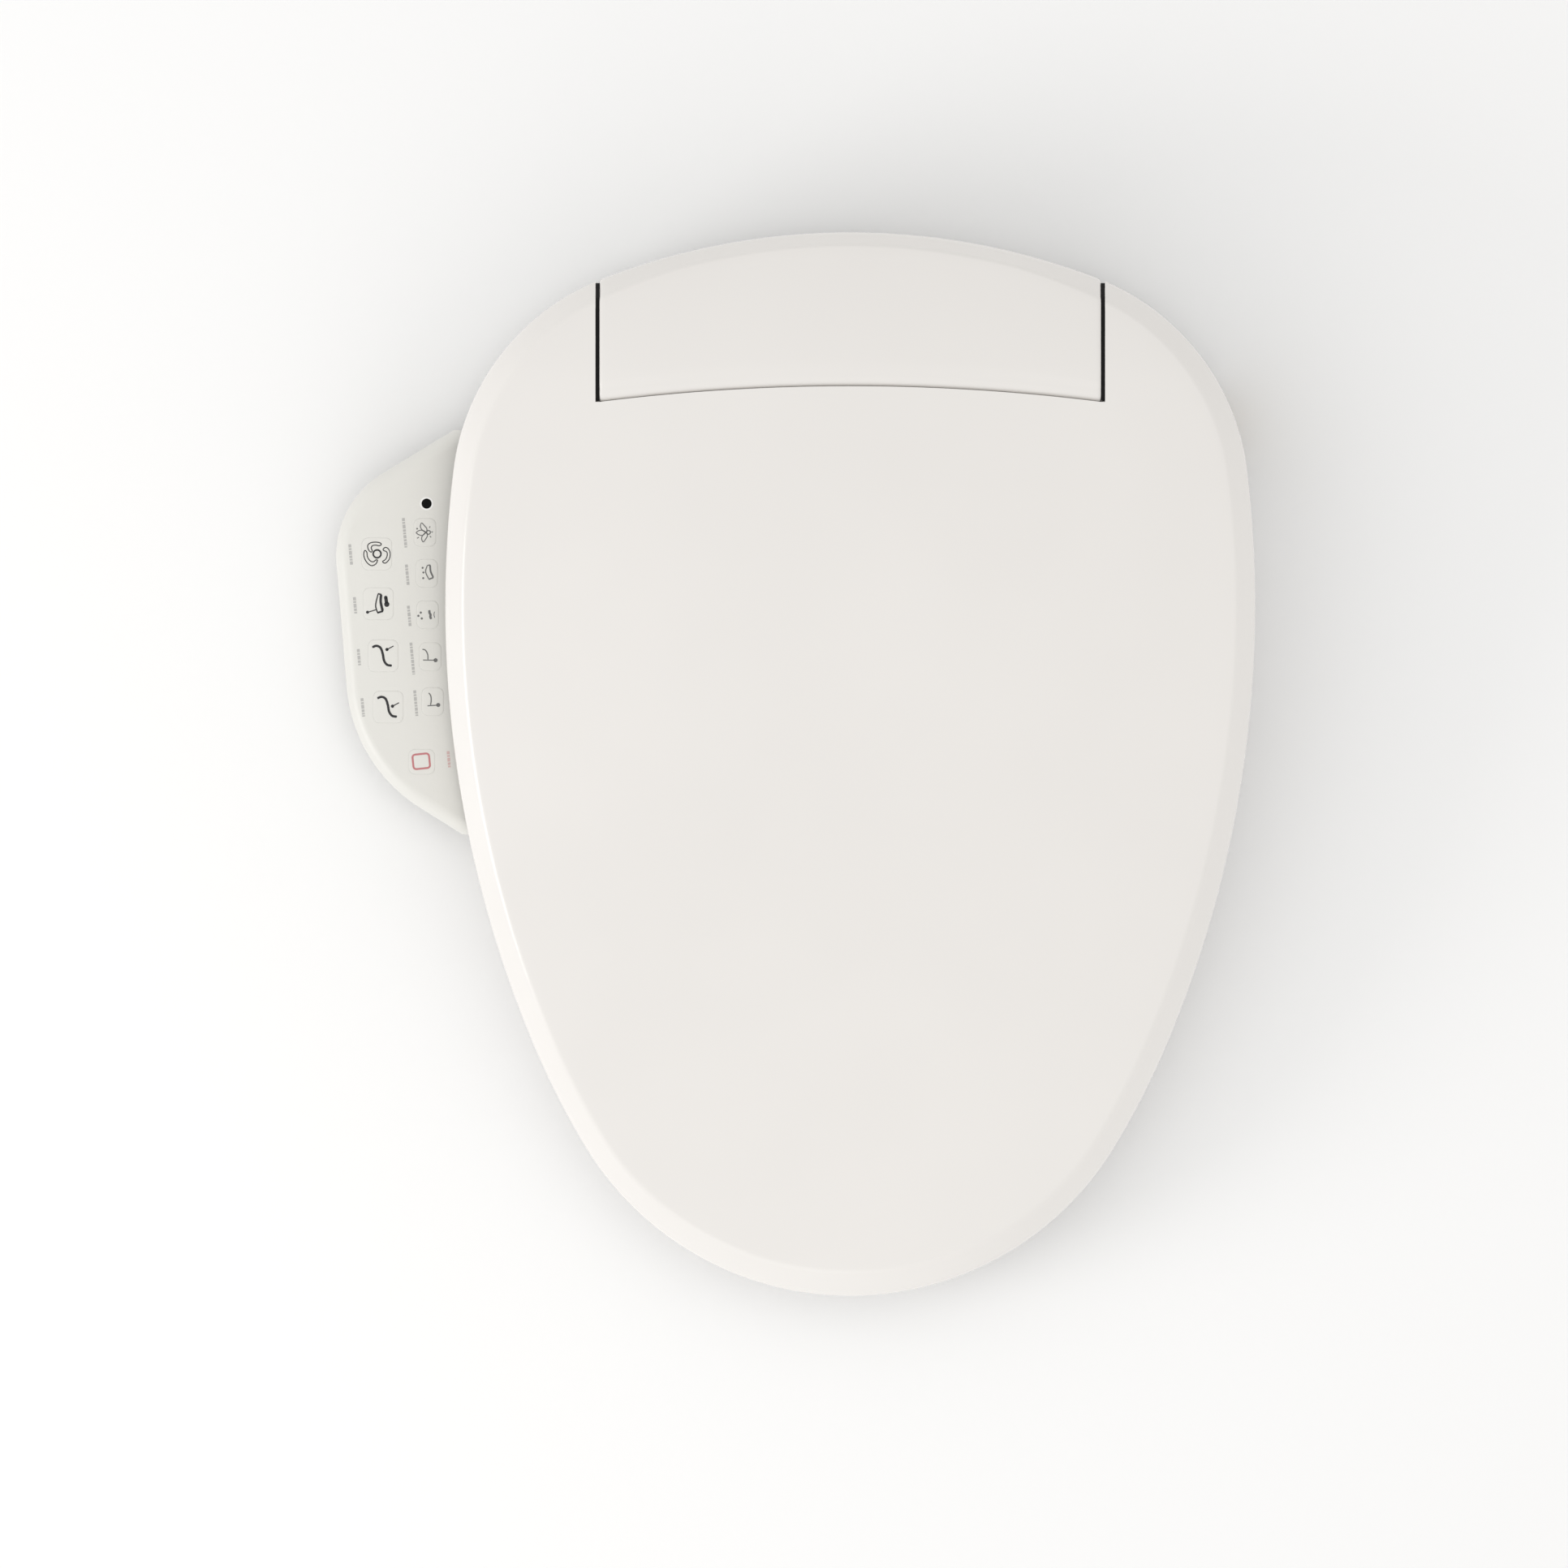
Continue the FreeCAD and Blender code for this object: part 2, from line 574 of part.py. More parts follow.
def make_wand():
    """The wand tube, its removable tip and the toothed rack on its back."""
    item = body("wand_tube")
    item.Placement = WAND_PLACE
    drawing = sketch(item, "XZ_Plane", "wand_round", "-16")
    circle(drawing, "0", "0", "wand_radius")
    circle(drawing, "0", "0", "wand_bore")
    pad(item, drawing, "wand_length - 16", back=True)

    item = body("nozzle_tip")
    item.Placement = WAND_PLACE
    drawing = sketch(item, "YZ_Plane", "tip_half")
    polygon(drawing, [("0", "0"), ("16", "0"), ("16", "wand_radius"), ("3", "wand_radius"),
                      ("0.6", "wand_radius - 2"), ("0", "wand_radius - 4")])
    turned(item, drawing, "H_Axis")
    drawing = sketch(item, "XY_Plane", "spray_holes", "wand_radius + 1")
    for along in ("6", "9", "12"):
        circle(drawing, "0", along, "0.6")
    pocket(item, drawing, "4")

    rack = shape_box(-2.6, 2.6, 17, 93, 5.2, 8.6).cut(shape_rod("Y", mm("wand_radius"), 0, 120, 0, 0))
    pitch = mm("tooth_pitch")
    for index in range(21):
        middle = mm("pinion_distance") - pitch / 2 + pitch * index
        if middle > 91:
            break
        corners = [Vector(-2.6, middle - 0.75, 8.6), Vector(-2.6, middle + 0.75, 8.6),
                   Vector(-2.6, middle + 0.4, 10), Vector(-2.6, middle - 0.4, 10)]
        tooth = Part.Face(Part.makePolygon(corners + corners[:1])).extrude(Vector(5.2, 0, 0))
        rack = rack.fuse(tooth)
    solid("wand_rack", rack.removeSplitter(), WAND_PLACE)


def make_pinion():
    """The pinion that drives the rack, with the shaft end that runs in the motor."""
    centre = wand_spot(mm("pinion_distance"), mm("pinion_offset"))
    item = body("nozzle_pinion")
    item.Placement = Placement(centre, Rotation(Vector(1, 0, 0), mm("wand_tilt")))
    drawing = sketch(item, "YZ_Plane", "pinion_core", "-3")
    circle(drawing, "0", "0", "4.7")
    pad(item, drawing, "6")
    drawing = sketch(item, "YZ_Plane", "pinion_tooth", "-3")
    polygon(drawing, [("-0.75", "-4.4"), ("0.75", "-4.4"), ("0.4", "-6.1"), ("-0.4", "-6.1")])
    tooth = pad(item, drawing, "6")
    ring = item.newObject("PartDesign::PolarPattern", "pinion_teeth_ring")
    ring.Originals = [tooth]
    ring.Axis = (drawing, ["N_Axis"])
    ring.Angle = 360
    ring.setExpression("Occurrences", bound("pinion_teeth"))
    item.Tip = ring
    drawing = sketch(item, "YZ_Plane", "pinion_shaft", "-3")
    circle(drawing, "0", "0", "2.45")
    pad(item, drawing, "11", back=True)


def make_nozzle_parts():
    """Cradle, port ring, fixed feed tube and motor of the wand."""
    centre = wand_spot(mm("pinion_distance"), mm("pinion_offset"))
    trough = shape_rod("Y", 9, 3, 70, 0, 0).cut(shape_rod("Y", 6.8, 0, 80, 0, 0))
    trough = tilted(trough.cut(shape_box(-10, 10, 0, 80, 0, 10)))
    foot_front = shape_box(-7, 7, -61, -53, 10.5, 30)
    foot_rear = shape_box(-7, 7, -3, 4, 10.5, 40)
    channel = tilted(shape_rod("Y", 7.5, -10, 90, 0, 0).fuse(shape_box(-10, 10, -10, 90, 0, 30)))
    feet = foot_front.fuse(foot_rear).cut(channel)
    solid("nozzle_cradle", trough.fuse(feet).removeSplitter())

    port = shape_rod("Y", 11.5, -68, mm("housing_front_y"), 0, 25)
    port = port.cut(tilted(shape_rod("Y", 7, -20, 12, 0, 0)))
    port = port.cut(tilted(shape_box(-3.6, 3.6, -20, 12, 0, 10.6)))
    solid("nozzle_port", port)

    rear = mm("wand_length") + 5
    path = [wand_spot(22, 0), wand_spot(rear, 0), Vector(0, 37.5, 41), Vector(0, 37.5, 29)]
    solid("feed_tube", tube(path, mm("wand_bore") - mm("running_gap"), 3.5))

    motor = cut("nozzle_motor", fused("nozzle_motor_blank", [
        rod("nozzle_motor_can", "X", "12", "-27", "-9", centre.y, centre.z),
        rod("nozzle_motor_nose", "X", "5", "-9", "-7", centre.y, centre.z)]),
        [rod("nozzle_motor_bore", "X", "2.5", "-16", "-6", centre.y, centre.z)])
    keep("nozzle_motor", motor)


# ---------------------------------------------------------------- water

def make_water():
    """The inlet, solenoid valve, instant heater, flow valve and the hoses between them."""
    item = body("water_inlet")
    item.Placement = Placement(Vector(160, -47, 22), Rotation(Vector(0, 1, 0), 90))
    drawing = sketch(item, "XZ_Plane", "inlet_half")
    polygon(drawing, [("4", "-9"), ("5.9", "-9"), ("5.9", "0"), ("12", "0"), ("12", "4"),
                      ("10.45", "4"), ("10.45", "23"), ("4", "23")])
    turned(item, drawing, "V_Axis")

    item = body("solenoid_body")
    drawing = sketch(item, "XY_Plane", "solenoid_block", "12")
    rectangle(drawing, "130", "152", "-20", "0")
    pad(item, drawing, "18")
    drawing = sketch(item, "XY_Plane", "plunger_seat", "30")
    circle(drawing, "141", "-10", "4.1")
    pocket(item, drawing, "8")

    item = body("solenoid_coil")
    drawing = sketch(item, "XY_Plane", "coil_ring", "30")
    circle(drawing, "141", "-10", "10")
    circle(drawing, "141", "-10", "4.1")
    pad(item, drawing, "24")

    item = body("solenoid_plunger")
    drawing = sketch(item, "XY_Plane", "plunger_round", "24")
    circle(drawing, "141", "-10", "4.05")
    pad(item, drawing, "24")

    item = body("water_heater")
    drawing = sketch(item, "XY_Plane", "heater_case", "14")
    rectangle(drawing, "-86", "-38", "-50", "30")
    pad(item, drawing, "30")
    for index, y in enumerate(("-48", "24")):
        drawing = sketch(item, "XY_Plane", "heater_foot_%d" % index, "10.5")
        rectangle(drawing, "-80", "-44", y, "( %s ) + 4" % y)
        pad(item, drawing, "3.5")

    item = body("flow_valve")
    drawing = sketch(item, "XY_Plane", "valve_block", "10.5")
    rectangle(drawing, "-12", "12", "14", "41")
    pad(item, drawing, "18.5")

    inlet = [Vector(151, -47, 22), Vector(141, -47, 22), Vector(141, -20, 22)]
    solid("inlet_hose", tube(inlet, 3, 7))
    keep("cold_hose", rod("cold_hose_bar", "X", "3", "-38", "130", "-9", "15.4"))
    keep("warm_hose", rod("warm_hose_bar", "X", "3", "-38", "-12", "27", "21"))


# ---------------------------------------------------------------- dryer

def make_dryer():
    """The blower with its impeller and motor, the duct, its heater and the outlet flap."""
    y, z, radius = "blower_y", "blower_z", "blower_radius"
    snail = rod("blower_snail", "X", radius, "blower_x0", "blower_x1", y, z)
    hollow = rod("blower_hollow", "X", "blower_radius - 2", "blower_x0 + 2", "blower_x1 - 2", y, z)
    shaft_hole = rod("blower_shaft_hole", "X", "4", "blower_x1 - 3", "blower_x1 + 1", y, z)
    intake = rod("blower_intake", "X", "14", "blower_x0 - 1", "blower_x0 + 3", y, z)
    outlet = block("blower_outlet", "21.5", "40.5", "-25", "2", "22.5", "29.5")
    foot = block("blower_foot", "24", "38", "16", "24", "10.5", "30")
    keep("blower_housing", cut("blower_housing", fused("blower_blank", [snail, foot]),
                               [hollow, shaft_hole, intake, outlet]))

    tunnel = block("duct_tunnel", "20", "42", "-63.2", "-2", "18.8", "31")
    inside = block("duct_inside", "21.5", "40.5", "-70", "0", "20.3", "29.5")
    clear = rod("duct_clear", "X", radius, "15", "50", y, z)
    keep("dryer_duct", cut("dryer_duct", tunnel, [inside, clear]))

    item = body("dryer_heater")
    drawing = sketch(item, "XY_Plane", "heater_core", "20.3")
    rectangle(drawing, "21.5", "40.5", "-46", "-34")
    pad(item, drawing, "9.2")
    drawing = sketch(item, "XZ_Plane", "heater_slot", "34")
    for index in range(5):
        start = 23.2 + 3.4 * index
        rectangle(drawing, start, start + 2, "21.6", "28.2")
    pocket(item, drawing, "14", back=True)

    item = body("blower_impeller")
    item.Placement = Placement(Vector(0, mm("blower_y"), mm("blower_z")), Rotation())
    drawing = sketch(item, "YZ_Plane", "impeller_disc", "blower_x1 - 5")
    circle(drawing, "0", "0", "25")
    pad(item, drawing, "2")
    drawing = sketch(item, "YZ_Plane", "impeller_hub", "blower_x0 + 6")
    circle(drawing, "0", "0", "8")
    pad(item, drawing, "15")
    drawing = sketch(item, "YZ_Plane", "impeller_blade", "blower_x0 + 4")
    rectangle(drawing, "16", "24.5", "-0.7", "0.7")
    blade = pad(item, drawing, "17")
    ring = item.newObject("PartDesign::PolarPattern", "impeller_blades")
    ring.Originals = [blade]
    ring.Axis = (drawing, ["N_Axis"])
    ring.Angle = 360
    ring.Occurrences = 16
    item.Tip = ring
    drawing = sketch(item, "YZ_Plane", "impeller_shaft", "blower_x1 - 4")
    circle(drawing, "0", "0", "2.45")
    pad(item, drawing, "12")

    item = body("blower_motor")
    item.Placement = Placement(Vector(0, mm("blower_y"), mm("blower_z")), Rotation())
    drawing = sketch(item, "YZ_Plane", "motor_can", "blower_x1")
    circle(drawing, "0", "0", "15")
    pad(item, drawing, "22")
    drawing = sketch(item, "YZ_Plane", "motor_bore", "blower_x1")
    circle(drawing, "0", "0", "2.5")
    pocket(item, drawing, "10", back=True)

    item = body("dryer_flap")
    item.Placement = Placement(Vector(0, -64.8, 29.2), Rotation())
    drawing = sketch(item, "YZ_Plane", "flap_plate", "20")
    rectangle(drawing, "-1.5", "0.5", "-13", "-0.5")
    pad(item, drawing, "22")
    drawing = sketch(item, "YZ_Plane", "flap_knuckle", "20")
    circle(drawing, "0", "0", "1.3")
    pad(item, drawing, "22")
    drawing = sketch(item, "YZ_Plane", "flap_pins", "19")
    circle(drawing, "0", "0", "0.9")
    pad(item, drawing, "24")


# ---------------------------------------------------------------- hinge hardware

def make_hinges():
    """The two hinge shafts, the damper that each one turns in, and the bushes round them."""
    for label, side in (("seat_hinge_shaft", 1), ("lid_hinge_shaft", -1)):
        low, high = sorted((side * 100, side * (mm("lid_boss_outer") + 0.5)))
        keep(label, rod(label + "_bar", "X", "pin_radius", low, high, "hinge_y", "hinge_z"))
    for label, side in (("seat_damper", 1), ("lid_damper", -1)):
        low, high = sorted((side * mm("damper_inner"), side * mm("damper_outer")))
        can = rod(label + "_can", "X", "damper_radius", low, high, "hinge_y", "hinge_z")
        low, high = sorted((side * 99.5, side * 119))
        bore = rod(label + "_bore", "X", "pin_radius + running_gap", low, high, "hinge_y", "hinge_z")
        keep(label, cut(label, can, [bore]))
    bushes = []
    for side in (-1, 1):
        low, high = sorted((side * mm("bush_inner"), side * mm("bush_outer")))
        ring = shape_rod("X", mm("bush_radius"), low, high, HINGE_Y, HINGE_Z)
        bore = mm("pin_radius") + mm("running_gap")
        bushes.append(ring.cut(shape_rod("X", bore, low - 1, high + 1, HINGE_Y, HINGE_Z)))
    solid("hinge_bushes", Part.makeCompound(bushes))


# ---------------------------------------------------------------- seat ring

def under_ring_top(lowered):
    """Heights ahead of the ring's nose and at its rear, a given depth below its sloping top."""
    return mm("ring_front_top") - mm("ring_front_drop") - lowered, mm("ring_rear_top") - lowered


def below_slope(lowered, rear, half):
    """Everything below a plane that runs a given depth under the ring's top."""
    nose, back = under_ring_top(lowered)
    slope = (back - nose) / (mm("ring_rear_y") - AHEAD)
    at_rear = back + slope * (rear - mm("ring_rear_y"))
    return profile_prism([(AHEAD, nose), (rear, at_rear), (rear, -20), (AHEAD, -20)], -half, half)


def ring_outer(inset):
    """The ring's outer solid with its sloping top and rear arch, moved in by inset."""
    rear = mm("ring_rear_y") - inset
    nose, back = under_ring_top(inset)
    bottom = mm("ring_bottom") + inset
    side_view = [(AHEAD, nose), (rear, back), (rear, bottom), (AHEAD, bottom)]
    plan = hood_prism(mm("ring_inset") + inset, 0, OVERHEAD)
    shape = plan.common(profile_prism(side_view, -WIDE, WIDE))
    shape = shape.cut(opening_face(inset).extrude(Vector(0, 0, OVERHEAD)))
    top_face = max(shape.Faces, key=lambda face: face.CenterOfMass.z)
    shape = shape.makeFillet(mm("ring_round") - inset, top_face.Edges)
    half = mm("arch_half_width") + inset
    arch = below_slope(mm("ring_seam_drop") - inset, -60, half)
    arch_band = shape_box(-half, half, -140, -60, -20, OVERHEAD)
    return shape.cut(arch.common(arch_band))


def hinge_arm(side):
    """A swan-necked arm from the ring's rear corner up to the hinge boss."""
    low, high = sorted((side * mm("seat_boss_inner"), side * mm("seat_boss_outer")))
    foot = mm("ring_rear_top") - mm("ring_seam_drop")
    neck = [(HINGE_Y, HINGE_Z - 8), (-30, HINGE_Z - 8), (-62, 52), (-73, foot), (-90, foot),
            (-90, 42), (-76, 56), (-38, HINGE_Z + 6), (HINGE_Y, HINGE_Z + 8)]
    arm = profile_prism(neck, low, high)
    return arm.fuse(shape_rod("X", mm("seat_boss_radius"), low, high, HINGE_Y, HINGE_Z))


def opening_face(grow):
    """The ring's oval opening as a flat face, grown all round."""
    middle = Vector(0, mm("opening_y"), 0)
    ellipse = Part.Ellipse(middle, mm("opening_half_length") + grow, mm("opening_half_width") + grow)
    face = Part.Face(Part.Wire(ellipse.toShape()))
    face.rotate(middle, Vector(0, 0, 1), 90)
    return face


def heater_film():
    """The thin heating film stuck under the flat part of the seat's top."""
    wall = mm("ring_wall")
    margin = mm("ring_round") + 1
    front, rear = under_ring_top(wall)
    rear_y = mm("ring_rear_y") - wall
    thick = mm("film_thickness")
    side_view = [(AHEAD, front), (rear_y, rear), (rear_y, rear - thick), (AHEAD, front - thick)]
    film = profile_prism(side_view, -WIDE, WIDE)
    film = film.common(hood_prism(mm("ring_inset") + margin, 0, OVERHEAD))
    film = film.common(shape_box(-WIDE, WIDE, AHEAD, mm("ring_rear_y") - margin, 0, OVERHEAD))
    return film.cut(opening_face(margin).extrude(Vector(0, 0, OVERHEAD)))


def make_seat():
    """The ring in two halves, its heater film, and the bumpers under the ring and the lid."""
    outer = ring_outer(0)
    inner = ring_outer(mm("ring_wall"))
    below_seam = below_slope(mm("ring_seam_drop"), 0, WIDE)
    shell = outer.cut(inner)
    upper = shell.cut(below_seam)
    lower = shell.common(below_seam)
    for side in (-1, 1):
        bore = mm("pin_radius") + (mm("running_gap") if side < 0 else 0)
        upper = upper.fuse(hinge_arm(side).cut(inner))
        ends = sorted((side * 120, side * 135))
        upper = upper.cut(shape_rod("X", bore, ends[0], ends[1], HINGE_Y, HINGE_Z))
    solid("seat_top", upper.removeSplitter())
    solid("seat_underside", lower.removeSplitter())
    solid("seat_heater", heater_film())
    pads = []
    for x, y in ((140, -165), (-140, -165), (103, -400), (-103, -400)):
        bumper = shape_box(x - 13, x + 13, y - 7, y + 7, 0, mm("ring_bottom"))
        pads.append(bumper.makeFillet(3, [edge for edge in bumper.Edges
                                          if edge.BoundBox.ZLength > 5]))
    solid("seat_bumpers", Part.makeCompound(pads))
    feet = []
    for side in (-1, 1):
        stub = shape_rod("Z", 8, 44.5, OVERHEAD, side * 55, -432)
        feet.append(stub.common(INNER_HOOD))
    solid("lid_bumpers", Part.makeCompound(feet))


# ---------------------------------------------------------------- control panel

PANEL_CORNERS = [Vector(-150, -22, 0), Vector(-150, -275.4, 0), Vector(-245.4, -215.7, 0),
                 Vector(-256, -86.6, 0)]
PANEL_RADII = [0, 0, 78, 47]
PANEL_CABLE = [Vector(-93, -30, 62), Vector(-112, -30, 52), Vector(-150, -30, 44),
               Vector(-178, -54, 30), Vector(-206, -84, 30)]


def panel_top(x, y):
    return mm("panel_top") - 0.04 * (-60 - y) - 0.0022 * (x + 196) ** 2


def panel_plan(inset, bottom, top):
    """The panel's plan as a solid: its rounded outside and the line beside the seat ring."""
    face = Part.Face(rounded_outline(PANEL_CORNERS, PANEL_RADII, inset, bottom))
    block_shape = face.extrude(Vector(0, 0, top - bottom))
    beside_ring = hood_prism(mm("panel_inset") - inset, bottom - 1, top + 1)
    front = mm("housing_front_y")
    beside_chassis = hood_prism(mm("chassis_inset") - inset, bottom - 1, top + 1)
    beside_chassis = beside_chassis.common(shape_box(-WIDE, 0, front - inset, BEHIND, -10, OVERHEAD))
    band = shape_box(-WIDE, -150, -249.5 + inset, -50 - inset, bottom, top)
    return block_shape.cut(beside_ring).cut(beside_chassis).common(band)


KEYS = {
    # name: centre x, centre y, width, length
    "key_dryer": (-233.6, -111.0, 14.5, 15.5),
    "key_wand_heat": (-232.8, -135.6, 14.5, 15.5),
    "key_rear_wash": (-230.5, -161.3, 14.5, 15.5),
    "key_front_wash": (-228.0, -186.6, 14.5, 15.5),
    "key_sanitise": (-209.8, -100.4, 10.5, 13.5),
    "key_wand_clean": (-208.9, -120.6, 10.5, 13.5),
    "key_water_heat": (-208.5, -141.0, 10.5, 13.5),
    "key_rear_pressure": (-207.2, -161.7, 10.5, 13.5),
    "key_front_pressure": (-206.0, -183.9, 10.5, 13.5),
    "key_stop": (-211.4, -213.6, 12.5, 12.0),
}
PANEL_SCREW_SPOTS = [(-221, -90), (-219.5, -150), (-216, -199)]
WINDOW = (-209.0, -86.2, 2.5)


def key_prism(key, grow, bottom, top):
    """A key's rounded-rectangle plan as a solid, grown all round."""
    x, y, width, length = KEYS[key]
    shape = shape_box(x - width / 2 - grow, x + width / 2 + grow,
                      y - length / 2 - grow, y + length / 2 + grow, bottom, top)
    corners = [edge for edge in shape.Edges if edge.BoundBox.ZLength > 1]
    return shape.makeFillet(3 + grow, corners)


def make_panel():
    """The panel's tub and cover, its window, keys, circuit board, switches, screws and cable."""
    split = mm("panel_split")
    wall = mm("panel_wall")
    below = under_surface(panel_top, (-262, -180), (-262, -40), (7, 9), 0)
    roof_low = below.copy()
    roof_low.translate(Vector(0, 0, -wall))
    outer = panel_plan(0, split, 80).common(below)
    top_face = max(outer.Faces, key=lambda face: face.Area if face.CenterOfMass.z > 45 else 0)
    rim = [edge for edge in top_face.Edges if edge.BoundBox.XMin < -225]
    outer = outer.makeFillet(mm("panel_round"), rim)
    cover = outer.cut(panel_plan(wall, split - 1, 80).common(roof_low))
    for x, y in PANEL_SCREW_SPOTS:
        cover = cover.fuse(shape_rod("Z", 3.2, split + 1, 60, x, y).common(roof_low))
        cover = cover.cut(shape_rod("Z", 1.2, split, 46, x, y))
    for key in KEYS:
        cover = cover.cut(key_prism(key, 0.2, split, 80))
    x, y, radius = WINDOW
    cover = cover.cut(shape_rod("Z", radius, split, 80, x, y))
    solid("panel_cover", cover.removeSplitter())
    window = shape_rod("Z", radius, panel_top(x, y) - 4, 80, x, y).common(below)
    solid("sensor_window", window)

    bottom = mm("panel_bottom")
    tub = panel_plan(0, bottom, split).cut(panel_plan(wall, bottom + wall, split + 1))
    for x, y in PANEL_SCREW_SPOTS:
        tub = tub.fuse(shape_rod("Z", 3.5, bottom, 36, x, y))
        tub = tub.cut(shape_rod("Z", 2.6, bottom - 1, 30, x, y)).cut(shape_rod("Z", 1.2, 29, 40, x, y))
    tub = tub.cut(tube(PANEL_CABLE, 3.6, 12))
    solid("panel_base", tub.removeSplitter())

    board = panel_plan(wall + 1, 37.2, 38.6).common(shape_box(-250, -203, -222, -88, 0, 60))
    for x, y in PANEL_SCREW_SPOTS:
        board = board.cut(shape_rod("Z", 4, 30, 50, x, y))
    solid("panel_board", max(board.Solids, key=lambda part: part.Volume))

    switches = []
    for key, (x, y, width, length) in KEYS.items():
        switches.append(shape_box(x - 3, x + 3, y - 3, y + 3, 38.6, 41.5))
        under = panel_top(x - width / 2, y) - wall
        cap = key_prism(key, 0, under - 1.5, 80).common(below)
        stem = shape_rod("Z", 2, 42.4, under - 1, x, y)
        solid(key, cap.fuse(stem).removeSplitter())
    solid("panel_switches", Part.makeCompound(switches))

    screws = []
    for x, y in PANEL_SCREW_SPOTS:
        head = shape_rod("Z", 2.5, 27.5, 30, x, y)
        screws.append(head.fuse(shape_rod("Z", 1.2, 30, 44, x, y)))
    solid("panel_screws", Part.makeCompound(screws))
    solid("panel_cable", tube(PANEL_CABLE, 2.5, 12))


# ---------------------------------------------------------------- electrics, plate and fastenings

def make_rest():
    """The main board, cord gland, release button, mounting plate and housing screws."""
    item = body("main_board")
    drawing = sketch(item, "XY_Plane", "board_sheet", "66")
    rectangle(drawing, "-93", "-30.5", "-47", "28.5")
    pad(item, drawing, "1.6")
    parts = (("transformer", -84, -62, -30, -8, 20), ("relay", -56, -44, -40, -24, 12),
             ("capacitor_box", -56, -40, 4, 20, 16), ("chip", -80, -66, 4, 18, 2.5))
    for name, x0, x1, y0, y1, height in parts:
        drawing = sketch(item, "XY_Plane", "board_" + name, "67.6")
        rectangle(drawing, x0, x1, y0, y1)
        pad(item, drawing, height)

    gland = shape_rod("Y", 8, 22, 45, 100, 24).common(hood_prism(mm("chassis_inset") - 1, 0, 60))
    flange = shape_rod("Y", 10, 20, 27, 100, 24).common(hood_prism(4.5, 0, 60))
    gland = gland.fuse(flange).cut(shape_rod("Y", 4, 0, 60, 100, 24))
    solid("cord_gland", gland.removeSplitter())

    button = shape_box(156, 215, mm("button_y0"), mm("button_y1"), mm("button_z0"), mm("button_z1"))
    solid("release_button", button.common(hood_prism(0.8, 0, 60)))

    item = body("mounting_plate")
    drawing = sketch(item, "XY_Plane", "plate_foot")
    between_rails = "rail_inner - rail_gap"
    rectangle(drawing, "0 - ( %s )" % between_rails, between_rails, "plate_front_y", "plate_wide_y")
    pad(item, drawing, "plate_thickness")
    drawing = sketch(item, "XY_Plane", "plate_tail")
    rectangle(drawing, "-104", "104", "plate_wide_y - 5", "plate_rear_y")
    pad(item, drawing, "plate_thickness")
    drawing = sketch(item, "XY_Plane", "plate_edges", "2.6")
    rectangle(drawing, "0 - plate_half_width", "plate_half_width", "plate_front_y", "plate_wide_y")
    pad(item, drawing, "plate_thickness - 2.6")
    drawing = sketch(item, "XY_Plane", "bolt_slots", "plate_thickness")
    for middle in ("0 - bolt_half_spacing", "bolt_half_spacing"):
        slot(drawing, middle, "slot_half_width")
    pocket(item, drawing, "plate_thickness")

    screws = []
    for x, y in SCREW_SPOTS:
        head = shape_rod("Z", mm("screw_head_radius"), 55, 58, x, y)
        screws.append(head.fuse(shape_rod("Z", mm("screw_radius"), 58, 84, x, y)))
    solid("housing_screws", Part.makeCompound(screws))


def slot(drawing, middle, radius):
    """A round-ended slot along X whose centre is at the given place."""
    x = number(middle)
    r = number(radius)
    reach = mm("slot_length") / 2 - r
    ends = (x - reach, x + reach)
    up = Vector(0, 0, 1)
    quarter = math.pi / 2
    left_circle = Part.Circle(Vector(ends[0], 0, 0), up, r)
    right_circle = Part.Circle(Vector(ends[1], 0, 0), up, r)
    left = drawing.addGeometry(Part.ArcOfCircle(left_circle, quarter, 3 * quarter))
    right = drawing.addGeometry(Part.ArcOfCircle(right_circle, -quarter, quarter))
    top = drawing.addGeometry(Part.LineSegment(Vector(ends[0], r, 0), Vector(ends[1], r, 0)))
    bottom = drawing.addGeometry(Part.LineSegment(Vector(ends[0], -r, 0), Vector(ends[1], -r, 0)))
    for first, end, second, start in ((left, 1, top, 1), (top, 2, right, 2), (right, 1, bottom, 2),
                                      (bottom, 1, left, 2)):
        drawing.addConstraint(Sketcher.Constraint("Tangent", first, end, second, start))
    drawing.addConstraint(Sketcher.Constraint("Equal", left, right))
    tie = drawing.addConstraint(Sketcher.Constraint("Radius", left, r))
    drawing.setExpression("Constraints[%d]" % tie, bound(radius))
    reach_text = "slot_length / 2 - slot_half_width"
    pin_down(drawing, left, 3, "( %s ) - ( %s )" % (middle, reach_text), "0")
    pin_down(drawing, right, 3, "( %s ) + ( %s )" % (middle, reach_text), "0")


solid("lid", make_lid())
solid("rear_cover", make_rear_cover())
make_seat()
make_wand()
make_pinion()
make_nozzle_parts()
make_water()
make_dryer()
make_hinges()
make_panel()
make_rest()
solid("base_chassis", make_base_chassis())

# ---------------------------------------------------------------- check and write

doc.recompute()
for item in doc.Objects:
    if "Invalid" in item.State or "Error" in item.State:
        raise RuntimeError("failed object: %s %s" % (item.Name, item.State))
os.makedirs("parts", exist_ok=True)
for label, item in FINISHED:
    shape = item.Shape
    if shape.isNull() or not shape.isValid() or not shape.Solids:
        raise RuntimeError("bad shape: " + label)
    print("%-20s solids %d volume %.0f" % (label, len(shape.Solids), shape.Volume))
    shape.exportStep("parts/%s.step" % label)
print("nodes", len(FINISHED))
